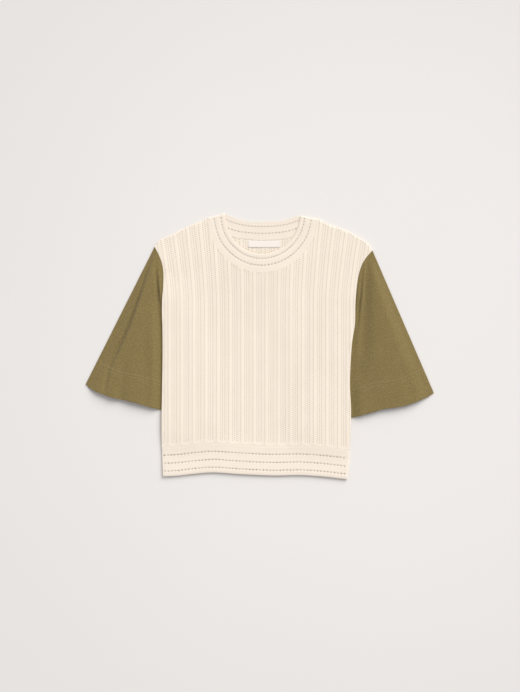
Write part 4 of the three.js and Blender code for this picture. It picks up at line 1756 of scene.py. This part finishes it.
@dataclass
class Sleeve:
    """A woven tube laid flat: folded along its top, sewn along its underarm, turned up at its hem."""

    side: Side
    name: str
    node: str
    tip: float
    leaves: float
    under: np.recarray
    hem: np.recarray
    hidden: np.recarray
    sections: np.recarray
    long_fold: Fold
    tuck_fold: Fold
    small_folds: tuple[Fold, ...]
    flat_width: float
    flat_length: float
    rise: float
    thickness: float = 0.7
    leaves_seam: float = 0.7
    hem_turn: float = 58.2
    hem_step: float = 0.35
    stitch_rows: tuple[float, float] = (51.8, 58.2)
    stitch_pitch: float = 3.0
    rows_above: int = 66
    rounded: tuple[float, ...] = (0.12, 0.45, 1.1)
    rings_from_hem: float = 72.0
    groove: float = 0.22
    groove_half: float = 0.9
    thread_radius: float = 0.34

    def armhole(self, t: Array) -> Array:
        """The armhole edge from the top fold to the underarm.

        Args:
            t: Shares of the way.

        Returns:
            The points.
        """
        y = self.tip + (self.leaves - self.tip) * np.clip(t / self.leaves_seam, 0, 1)
        seam = pairs(PLAN.edge_x(self.side, y) + self.side.value * SEAM_GAP, y)
        part = np.clip((t - self.leaves_seam) / (1 - self.leaves_seam), 0, 1)
        hidden = evenly(pairs(self.under.x, self.under.y), part)
        return np.where((t > self.leaves_seam)[:, None], hidden, seam)

    def hem_line(self, t: Array) -> Array:
        """The hem edge from the top fold to the underarm.

        Args:
            t: Shares of the way.

        Returns:
            The points.
        """
        free = evenly(smooth_line(pairs(self.hem.x, self.hem.y), 3), np.clip(t / self.leaves_seam, 0, 1))
        part = np.clip((t - self.leaves_seam) / (1 - self.leaves_seam), 0, 1)
        hidden = evenly(pairs(self.hidden.x, self.hidden.y), part)
        return np.where((t > self.leaves_seam)[:, None], hidden, free)

    def plan(self, s: Array, t: Array) -> Array:
        """Places in the plan, s from the armhole to the hem and t round from the top fold."""
        start, end = self.armhole(t), self.hem_line(t)
        return start + (end - start) * s[:, None]

    def length(self, t: Array) -> Array:
        """The sleeve's length from armhole to hem at each t."""
        return np.linalg.norm(self.hem_line(t) - self.armhole(t), axis=1)

    def upper(self, s: Array, t: Array) -> Array:
        """Height of the upper layer's outer face.

        Args:
            s: Shares of the way from the armhole to the hem.
            t: Shares of the way from the top fold to the underarm.

        Returns:
            The height at each place.
        """
        points = self.plan(s, t)
        x, y = points.T
        from_fold = np.linalg.norm(points - self.plan(s, np.zeros(len(t))), axis=1)
        off_body = self.side.value * (x - PLAN.edge_x(self.side, y))
        clear = smooth(2.5, 22, off_body)
        above = smooth(self.leaves + 8, self.leaves + 55, y)
        free = 1 - (1 - clear) * (1 - above)
        rounded = smooth(0, 1, from_fold / (self.rise * (0.4 + 0.6 * s)))
        tall = np.interp(s, self.sections.s, self.sections.height) * rounded
        for fold in (self.long_fold, *self.small_folds):
            tall = tall + fold.shape(points, self.side)
        tall = free * tall
        tall += self.tuck_fold.shape(points, self.side) * smooth(0.2, 2.5, off_body)
        tall = np.maximum(tall, 0)
        from_hem = (1 - s) * self.length(t)
        visible = smooth(1, 6, off_body)
        tall += self.hem_step * (1 - smooth(self.hem_turn - 0.8, self.hem_turn + 1.2, from_hem)) * visible
        for row in self.stitch_rows:
            tall -= self.groove * np.exp(-(((from_hem - row) / self.groove_half) ** 2)) * visible
        return FLAT_SLEEVE + np.maximum(tall, -0.2)

    def rows(self) -> list[tuple[float, float]]:
        """The rings' places: a share of the part above the hem turn, or a distance from the hem.

        Returns:
            Pairs of a share and a distance; the distance is -1 above the hem turn.
        """
        upper = [(k / self.rows_above, -1.0) for k in range(self.rows_above + 1)]
        low, high = self.stitch_rows
        near = [66, 61, 60, 59.2, high + 0.4, high, high - 0.4, 57, 55, 53, low + 0.4, low, low - 0.4, 50.5]
        hem = [*near, *np.linspace(46, 5, 11), 2.4, 1.2, 0.5, 0.15, 0.0]
        return upper + [(1.0, float(q)) for q in hem]

    def folds_at(self, s: Array) -> tuple[Array, Array]:
        """Where the two folds cross each ring.

        Args:
            s: The rings' places.

        Returns:
            The long fold's and the tuck fold's t at each ring.
        """
        t = np.linspace(0.02, 0.92, 360)
        grid = self.plan(np.repeat(s, len(t)), np.tile(t, len(s)))
        found = []
        for fold in (self.long_fold, self.tuck_fold):
            distance = measure_from(fold.line(), grid)[0].reshape(len(s), len(t))
            places = t[distance.argmin(axis=1)]
            kernel = np.ones(5) / 5
            found.append(np.convolve(np.pad(places, 2, mode="edge"), kernel, mode="valid"))
        return found[0], found[1]

    def ring_places(self, width: float, long_at: float, tuck_at: float) -> Array:
        """Places round the upper layer, crowded at the folds.

        Args:
            width: The ring's width.
            long_at: The long fold's place.
            tuck_at: The tuck fold's place.

        Returns:
            Rising shares from 0 to 1, as many on every ring.
        """
        edge = np.array(self.rounded) / width
        first = 3 * edge[-1]
        tuck_at = min(max(tuck_at, 0.4), 0.93)
        long_at = min(max(long_at, 2.2 * first), tuck_at - 0.12)
        reach = min(12 / width, (long_at - first) * 0.6, (tuck_at - long_at) * 0.35)
        near = min(7 / width, (tuck_at - long_at) * 0.3, (1 - first - tuck_at) * 0.6)
        knots = (
            (edge[-1], long_at - reach, 14), (long_at - reach, long_at, 12), (long_at, long_at + reach, 12),
            (long_at + reach, tuck_at - near, 30), (tuck_at - near, tuck_at, 9), (tuck_at, tuck_at + near, 9),
            (tuck_at + near, 1 - edge[-1], 16),
        )
        parts = []
        for number, (start, end, count) in enumerate(knots):
            part = np.arange(count) / count
            if number in (1, 4):
                part = 1 - (1 - part) ** 1.7
            elif number in (2, 5):
                part = part**1.7
            parts.append(start + (end - start) * part)
        return np.concatenate([[0], edge[:-1], *parts, 1 - edge[::-1], [1]])

    def build(self, finishes: Finishes) -> Piece:
        """Makes and dresses the sleeve and its hem stitching.

        Args:
            finishes: The top's materials.

        Returns:
            The sleeve.
        """
        rows = np.array(self.rows())
        middle = float(self.length(np.array([0.35]))[0])
        share, q = rows[:, :1], rows[:, 1:]
        above = q < 0
        nominal = np.where(above, share * (1 - self.rings_from_hem / middle), 1 - q / middle).ravel()
        start, end = (self.plan(nominal, np.full(len(rows), t)) for t in (0.0, 1.0))
        width = np.linalg.norm(end - start, axis=1)
        upper_t = np.array([self.ring_places(*each) for each in zip(width, *self.folds_at(nominal))])
        width = width[:, None]
        near = self.rounded[1] / width
        lower_t = np.clip(np.linspace(1, 0, 40)[None, 1:-1], near, 1 - near)
        around = np.concatenate([upper_t, lower_t], axis=1)
        length = self.length(around.ravel()).reshape(around.shape)
        s = np.clip(np.where(above, share * (1 - self.rings_from_hem / length), 1 - q / length), 0, 1)
        count = upper_t.shape[1]
        half = FLAT_SLEEVE / 2
        tall = self.upper(s[:, :count].ravel(), upper_t.ravel()).reshape(upper_t.shape)
        from_side = np.minimum(upper_t, 1 - upper_t) * width
        bend = np.sqrt(1 - (1 - np.clip(from_side / self.rounded[-1], 0, 1)) ** 2)
        tall = half + (tall - half) * bend
        turn = np.where(above, 0, 1 - np.clip(q / 1.2, 0, 1))
        hem_round = 0.35 * (1 - np.sqrt(1 - turn**2))
        low = np.zeros_like(lower_t)
        z_outer = np.concatenate([tall - hem_round, low + hem_round], axis=1)
        sink = np.minimum(self.thickness, (tall - half) * 0.9)
        z_inner = np.concatenate([tall - sink, low + self.thickness], axis=1)
        inset = np.clip(around, self.thickness / width, 1 - self.thickness / width)
        plans = [self.plan(s.ravel(), t.ravel()) for t in (around, inset)]
        shape = [np.column_stack([plan, z.ravel()]) for plan, z in zip(plans, (z_outer, z_inner))]
        return self.join(shape, around.shape, plans[0], finishes)

    def join(self, shape: list, size: tuple[int, int], pattern: Array,
             finishes: Finishes) -> Piece:
        """Joins the rings into one closed piece.

        Args:
            shape: The outer face's points and the inner face's, ring by ring.
            size: How many rings there are and how many points each has.
            pattern: The points' places on the flat cloth.
            finishes: The top's materials.

        Returns:
            The sleeve.
        """
        rings, around = size
        count = around * rings
        ring, column = np.meshgrid(np.arange(rings - 1), np.arange(around), indexing="ij")
        following = (column + 1) % around
        a, b = ring * around + column, ring * around + following
        quads = np.stack([a, b, b + around, a + around], axis=-1).reshape(-1, 4)
        if self.side is Side.LEFT:
            quads = quads[:, ::-1]
        faces = quads.tolist() + (quads[:, ::-1] + count).tolist()
        step = np.arange(around)
        for start, flip in ((0, self.side is Side.RIGHT), ((rings - 1) * around, self.side is Side.LEFT)):
            near, far = start + step, start + (step + 1) % around
            rim = np.stack([near, near + count, far + count, far], axis=1)
            faces += (rim if flip else rim[:, ::-1]).tolist()
        grain = self.grain(np.tile(pattern, (2, 1)))
        piece = make_piece(self.name, np.concatenate(shape), faces, grain, finishes.olive, sharp=70.0)
        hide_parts(self.node)
        stitches = self.stitches(finishes)
        return piece

    def grain(self, points: Array) -> Array:
        """Turns plan places to the cloth's own grain, which runs down the sleeve.

        Args:
            points: Places in the plan.

        Returns:
            The places across and along the grain.
        """
        down = self.plan(np.array([0.0, 1.0]), np.array([0.35, 0.35]))
        along = (down[1] - down[0]) / np.linalg.norm(down[1] - down[0])
        return pairs(points @ np.array([-along[1], along[0]]), points @ along)

    def stitches(self, finishes: Finishes) -> Piece:
        """Makes the twin rows of topstitching round the hem.

        Args:
            finishes: The top's materials.

        Returns:
            The joined stitches.
        """
        starts, ends = [], []
        for from_hem in self.stitch_rows:
            t = np.linspace(0.004, 0.78, 400)
            s = 1 - from_hem / self.length(t)
            line = self.plan(s, t)
            count = int(length_of(line) / self.stitch_pitch)
            reach = running(line)
            for part, holder in ((0.1, starts), (0.9, ends)):
                at = (np.arange(count) + part) * self.stitch_pitch
                t_at = np.interp(at, reach, t)
                s_at = 1 - from_hem / self.length(t_at)
                tall = self.upper(s_at, t_at) + 0.1
                holder.append(np.column_stack([self.plan(s_at, t_at), tall]))
        piece = thread_stitches(
            f"{self.name}_topstitch", np.concatenate(starts), np.concatenate(ends), self.thread_radius,
            finishes.olive_thread,
        )
        return piece


def thread_stitches(name: str, starts: Array, ends: Array, radius: float,
                    finish: Material) -> Piece:
    """Makes many short rounded stitches as one piece.

    Args:
        name: The piece's name.
        starts: Where the stitches start.
        ends: Where they end.
        radius: The thread's radius.
        finish: Its material.

    Returns:
        The piece.
    """
    sides = 6
    stations = ((0.0, 0.35), (0.15, 0.9), (0.5, 1.0), (0.85, 0.9), (1.0, 0.35))
    turn = np.arange(sides) * 2 * math.pi / sides
    along = ends - starts
    level = np.column_stack([-along[:, 1], along[:, 0], np.zeros(len(along))])
    level /= np.linalg.norm(level, axis=1)[:, None]
    up = np.array([0.0, 0.0, 1.0])
    rings = []
    for share, size in stations:
        centre = starts + along * share + up * radius * 0.5 * (math.sin(math.pi * share) - 0.5)
        ring = centre[:, None] + radius * size * (
            np.cos(turn)[None, :, None] * level[:, None] + np.sin(turn)[None, :, None] * up
        )
        rings.append(ring)
    points = np.stack(rings, axis=1)
    each = len(stations) * sides
    faces = []
    for k in range(len(stations) - 1):
        for i in range(sides):
            n = (i + 1) % sides
            faces.append((k * sides + i, (k + 1) * sides + i, (k + 1) * sides + n, k * sides + n))
    quads = np.array(faces)
    caps = np.array([list(range(sides)), [each - 1 - i for i in range(sides)]])
    offsets = np.arange(len(starts)) * each
    all_faces = (quads[None] + offsets[:, None, None]).reshape(-1, 4).tolist()
    all_faces += (caps[None] + offsets[:, None, None]).reshape(-1, sides).tolist()
    flat = points.reshape(-1, 3)
    return make_piece(name, flat, all_faces, flat[:, :2], finish)


@dataclass
class Linking:
    """A chain of loops that joins two edges, following a line in space."""

    name: str
    pitch: float
    radius: float
    fill: float = 0.86

    def build(self, line: Array, finish: Material) -> Piece:
        """Makes the chain.

        Args:
            line: The points that it follows, in three dimensions.
            finish: Its material.

        Returns:
            The chain.
        """
        reach = running(line)
        count = int(reach[-1] / self.pitch)
        ends = []
        for part in (0.0, self.fill):
            at = (np.arange(count) + part) * reach[-1] / count
            ends.append(np.column_stack([np.interp(at, reach, line[:, axis]) for axis in range(3)]))
        piece = thread_stitches(self.name, ends[0], ends[1], self.radius, finish)
        return piece


def front_neck_link(finishes: Finishes) -> Piece:
    """Makes the chain over the front neck seam.

    Args:
        finishes: The top's materials.

    Returns:
        The chain.
    """
    seam, free = NECKLINES[Layer.FRONT].edges(np.linspace(0.015, 0.985, 400))
    level = seam + outward(seam, free) * 0.5
    tall = PLAN.front_under(*level.T) + KNIT_WALL + 0.05
    return Linking("front_neck_link", 2.5, 0.7).build(np.column_stack([level, tall]), finishes.yarn)


def back_neck_link(finishes: Finishes) -> Piece:
    """Makes the chain over the back neck seam, on the inside; its darker yarn paints the shadow line along
    the seam.

    Args:
        finishes: The top's materials.

    Returns:
        The chain.
    """
    seam, free = NECKLINES[Layer.BACK].edges(np.linspace(0.06, 0.94, 300))
    level = seam + outward(seam, free) * 0.3
    tall = np.full(len(level), KNIT_WALL)
    return Linking("back_neck_link", 2.5, 0.45).build(np.column_stack([level, tall]), finishes.seam_yarn_painted_shadow)


def armhole_link(side: Side, finishes: Finishes) -> Piece:
    """Makes the rolled edge of the body along an armhole.

    Args:
        side: The sleeve's side.
        finishes: The top's materials.

    Returns:
        The chain.
    """
    y = np.linspace(LEAVES[side], TIPS[side] - 3, 200)
    x = PLAN.edge_x(side, y) - side.value * 0.6
    tall = PLAN.front_under(x, y) + KNIT_WALL - 0.45
    line = np.column_stack([x, y, tall])
    return Linking(f"armhole_link_{side.name.lower()}", 2.4, 0.6).build(line, finishes.yarn)


@dataclass
class NeckLabel:
    """A blank woven tape sewn under the back neck seam."""

    name: str = "neck_label_tape"
    left: float = -24.4
    right: float = 42.0
    bottom: float = 207.7
    top: float = 221.6
    gap: float = 0.35
    thickness: float = 0.55
    curl: float = 0.25

    def build(self, finishes: Finishes) -> Piece:
        """Makes and dresses the label and its stitches.

        Args:
            finishes: The top's materials.

        Returns:
            The tape.
        """
        columns, rows = 48, 14
        u, v = np.meshgrid(np.linspace(0, 1, columns), np.linspace(0, 1, rows), indexing="ij")
        x = (self.left + (self.right - self.left) * u).ravel()
        y = (self.bottom + (self.top - self.bottom) * v).ravel()
        end = np.abs(2 * u - 1).ravel()
        sag = self.curl * np.sin(math.pi * u * 2.2 + 0.6).ravel() * (1 - v.ravel())
        low = KNIT_WALL + self.gap + np.maximum(sag, 0)
        edge = np.minimum.reduce([x - self.left, self.right - x, y - self.bottom, self.top - y])
        tall = low + self.thickness - 0.2 * (1 - smooth(0, 1.2, edge)) - 0.15 * smooth(0.94, 1, end)
        faces = []
        for i in range(columns - 1):
            for j in range(rows - 1):
                a = i * rows + j
                faces += [(a, a + rows, a + rows + 1), (a, a + rows + 1, a + 1)]
        shape = two_faces(x, y, tall, low)
        pattern = np.tile(pairs(x, y), (2, 1))
        piece = make_piece(
            self.name, shape, shell_faces(np.array(faces), len(x)), pattern, finishes.label
        )
        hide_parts("neck_label")
        stitches = self.stitches(finishes)
        return piece

    def stitches(self, finishes: Finishes) -> Piece:
        """Makes the short rows of stitches that hold the label's two ends.

        Args:
            finishes: The top's materials.

        Returns:
            The joined stitches.
        """
        starts = []
        for x in (self.left + 1.6, self.right - 1.6):
            for y in np.arange(self.bottom + 1.2, self.top - 2.0, 2.4):
                starts.append((x, y, KNIT_WALL + self.gap + self.thickness + 0.05))
        starts = np.array(starts)
        ends = starts + np.array([0, 1.7, 0])
        piece = thread_stitches("neck_label_stitches", starts, ends, 0.22, finishes.cream_thread)
        return piece


# Studio


@dataclass
class Studio:
    """The pale floor, the soft light and the camera straight above."""

    centre_x: float = 0.42
    centre_y: float = 0.98
    view_height: float = 1453.2
    lens: float = 85.0
    sensor: float = 36.0
    floor_size: float = 9.0
    key_strength: float = 3.1
    key_spread: float = 48.0
    key_azimuth: float = 58.0
    key_elevation: float = 38.5
    sky: float = 0.59

    def build(self, finishes: Finishes) -> None:
        """Places floor, lights and camera.

        Args:
            finishes: The materials.
        """
        self.floor(finishes.floor)
        self.light()
        self.camera()

    def floor(self, finish: Material) -> None:
        """Lays the floor.

        Args:
            finish: Its material.
        """
        half = self.floor_size / 2
        mesh = bpy.data.meshes.new("floor")
        corners = [(-half, -half, 0), (half, -half, 0), (half, half, 0), (-half, half, 0)]
        mesh.from_pydata(corners, [], [(0, 1, 2, 3)])
        mesh.materials.append(finish)
        floor = bpy.data.objects.new("floor", mesh)
        floor.location.z = -0.2 * MM
        bpy.context.scene.collection.objects.link(floor)

    def light(self) -> None:
        """Sets the key light at the upper right and an even fill."""
        azimuth, elevation = math.radians(self.key_azimuth), math.radians(self.key_elevation)
        level = math.cos(elevation)
        toward = Vector((math.cos(azimuth) * level, math.sin(azimuth) * level, math.sin(elevation)))
        lamp = bpy.data.lights.new("key", "SUN")
        lamp.angle = math.radians(self.key_spread)
        lamp.energy = self.key_strength
        lamp.color = (1.0, 0.995, 0.985)
        key = bpy.data.objects.new("key", lamp)
        key.location = toward
        key.rotation_mode = "QUATERNION"
        key.rotation_quaternion = toward.to_track_quat("Z", "Y")
        bpy.context.scene.collection.objects.link(key)
        world = bpy.data.worlds.new("soft room")
        world.use_nodes = True
        background = next(n for n in world.node_tree.nodes if n.type == "BACKGROUND")
        background.inputs["Color"].default_value = (0.99, 0.99, 1.0, 1)
        background.inputs["Strength"].default_value = self.sky
        bpy.context.scene.world = world

    def camera(self) -> None:
        """Puts the camera straight above, at the photograph's angle."""
        camera = bpy.data.cameras.new("camera")
        camera.lens = self.lens
        camera.sensor_width = self.sensor
        camera.clip_end = 50
        placed = bpy.data.objects.new("camera", camera)
        distance = self.view_height * self.lens / self.sensor
        placed.location = (self.centre_x * MM, self.centre_y * MM, distance * MM)
        bpy.context.scene.collection.objects.link(placed)
        scene = bpy.context.scene
        scene.camera = placed
        scene.view_settings.view_transform = "Standard"
        scene.view_settings.look = "None"


# The whole top


def fold_along(*rows: tuple[float, ...], **lips: float) -> Fold:
    """A fold from its path's rows: x, y, depth and its walls' widths toward and away from the body."""
    return Fold(table("x, y, depth, body, outer", *rows), **lips)


LEFT_FOLDS = (
    fold_along(
        (-224, 198, 0.5, 2, 2.4), (-235.6, 161.3, 2.8, 2.2, 2.8), (-254.5, 100.8, 5.2, 2.4, 3.2),
        (-275.7, 41.8, 6, 2.6, 3.6), (-296.1, -4.8, 5, 3, 4.2), (-316.7, -49.6, 2.6, 4, 5),
        (-325.1, -92.8, 1.2, 5, 6), (-327, -104, 0.8, 5, 6),
    ),
    fold_along(
        (-217.5, 168, 0.3, 2.4, 3.5), (-216.9, 152.9, 2.8, 2.6, 4), (-215.2, 130.4, 4.4, 2.8, 4),
        (-213.8, 110.7, 5, 2.8, 4), (-212.3, 93.9, 5, 2.8, 4), (-209.6, 74.1, 4.4, 2.8, 4),
        (-206.6, 57.3, 3.4, 2.8, 4), (-205.2, 41.8, 2, 2.8, 4),
        body_lip=0.3, outer_lip=0.1,
    ),
    fold_along(
        (-226, 196, 0.3, 3, 9), (-256, 100.8, 1.6, 4, 14), (-277, 41.8, 2, 4, 17), (-298, -4.8, 1.8, 5, 18),
        (-318, -49.6, 1.4, 7, 16), (-327, -104, 0.8, 8, 14),
    ),
    fold_along(
        (-279, 0, 0.1, 13, 9), (-286, -50, 1.4, 13, 9), (-291, -95, 2.6, 13, 9), (-293, -122, 2.8, 13, 9),
    ),
    fold_along(
        (-238, 60, 0.1, 10, 16), (-240, 0, 1.3, 10, 16), (-236, -70, 1.7, 10, 16), (-232, -130, 1.9, 10, 16),
    ),
)
RIGHT_FOLDS = (
    fold_along(
        (227, 196, 0.8, 4, 7), (225.5, 165, 3, 4.5, 9), (223, 130, 4.8, 4.5, 11), (221.5, 105, 5.8, 4.5, 12),
        (219, 75, 6.8, 5, 14), (217, 49, 7.6, 6, 16), (214.5, 11.8, 8.2, 9, 18), (212, -20, 8, 14, 20),
        (209, -45, 7, 18, 23), (206, -68, 5.4, 18, 26), (210, -95, 3.2, 16, 26), (218, -130, 1.4, 14, 24),
    ),
    fold_along(
        (218, 175.1, 0.2, 2.8, 2.6), (215.5, 153.9, 1.8, 2.8, 2.6), (213, 129.8, 3, 2.8, 2.6),
        (211, 105.6, 3.6, 2.8, 2.6), (209, 89.5, 3.8, 2.8, 2.6), (206.5, 70.8, 3.4, 2.8, 2.6),
        (203, 52.1, 2.6, 2.8, 2.6),
        body_lip=0.3,
    ),
    fold_along(
        (211, -30, 0.2, 1.6, 6), (209, -42, 2, 1.8, 8), (206, -52, 3.2, 1.8, 9), (201, -62, 3, 1.8, 9),
        (195, -70, 2, 1.8, 8), (185, -79, 0.6, 1.8, 8),
    ),
    fold_along(
        (278, 30, 0.1, 12, 10), (292, -20, 1.2, 12, 10), (306, -65, 1.8, 12, 10), (316, -98, 2, 12, 10),
    ),
)


def sleeves() -> tuple[Sleeve, Sleeve]:
    """The two sleeves.

    Returns:
        The sleeve on the picture's left and the one on its right.
    """
    left = Sleeve(
        side=Side.LEFT, name="sleeve_left_cloth", node="sleeve_left", tip=TIPS[Side.LEFT],
        leaves=LEAVES[Side.LEFT],
        under=LEFT_UNDER, hem=LEFT_SLEEVE_HEM, hidden=LEFT_HIDDEN_HEM,
        sections=table("s, height", (0, 2.4), (0.12, 5.6), (0.4, 8.6), (0.7, 9.0), (1, 9.2)),
        long_fold=LEFT_FOLDS[0], tuck_fold=LEFT_FOLDS[1], small_folds=LEFT_FOLDS[2:],
        flat_width=500.0, flat_length=335.0, rise=44.0,
    )
    right = Sleeve(
        side=Side.RIGHT, name="sleeve_right_cloth", node="sleeve_right", tip=TIPS[Side.RIGHT],
        leaves=LEAVES[Side.RIGHT],
        under=RIGHT_UNDER, hem=RIGHT_SLEEVE_HEM, hidden=RIGHT_HIDDEN_HEM,
        sections=table("s, height", (0, 2.6), (0.12, 6.2), (0.4, 9.8), (0.7, 10.2), (1, 8.6)),
        long_fold=RIGHT_FOLDS[0], tuck_fold=RIGHT_FOLDS[1], small_folds=RIGHT_FOLDS[2:],
        flat_width=500.0, flat_length=335.0, rise=48.0,
    )
    return left, right


def body(finishes: Finishes) -> None:
    """Makes the body's two layers with their hem bands.

    Args:
        finishes: The top's materials.
    """
    for layer in (Layer.BACK, Layer.FRONT):
        panel = KnitPanel(layer, f"{layer.value}_ribbed_knit", f"{layer.value}_panel")
        piece = panel.build(finishes)
        parts = [HemBand(layer, f"{layer.value}_hem_band").build(finishes)]
        if layer is Layer.FRONT:
            parts += [armhole_link(side, finishes) for side in Side]


def main() -> None:
    """Builds the top and its studio."""
    logging.basicConfig(level=logging.INFO, format="%(message)s")
    finishes = Finishes()
    Studio().build(finishes)
    body(finishes)
    NeckBand().build(finishes)
    NeckLabel().build(finishes)
    for sleeve in sleeves():
        sleeve.build(finishes)


if __name__ == "__main__":
    main()
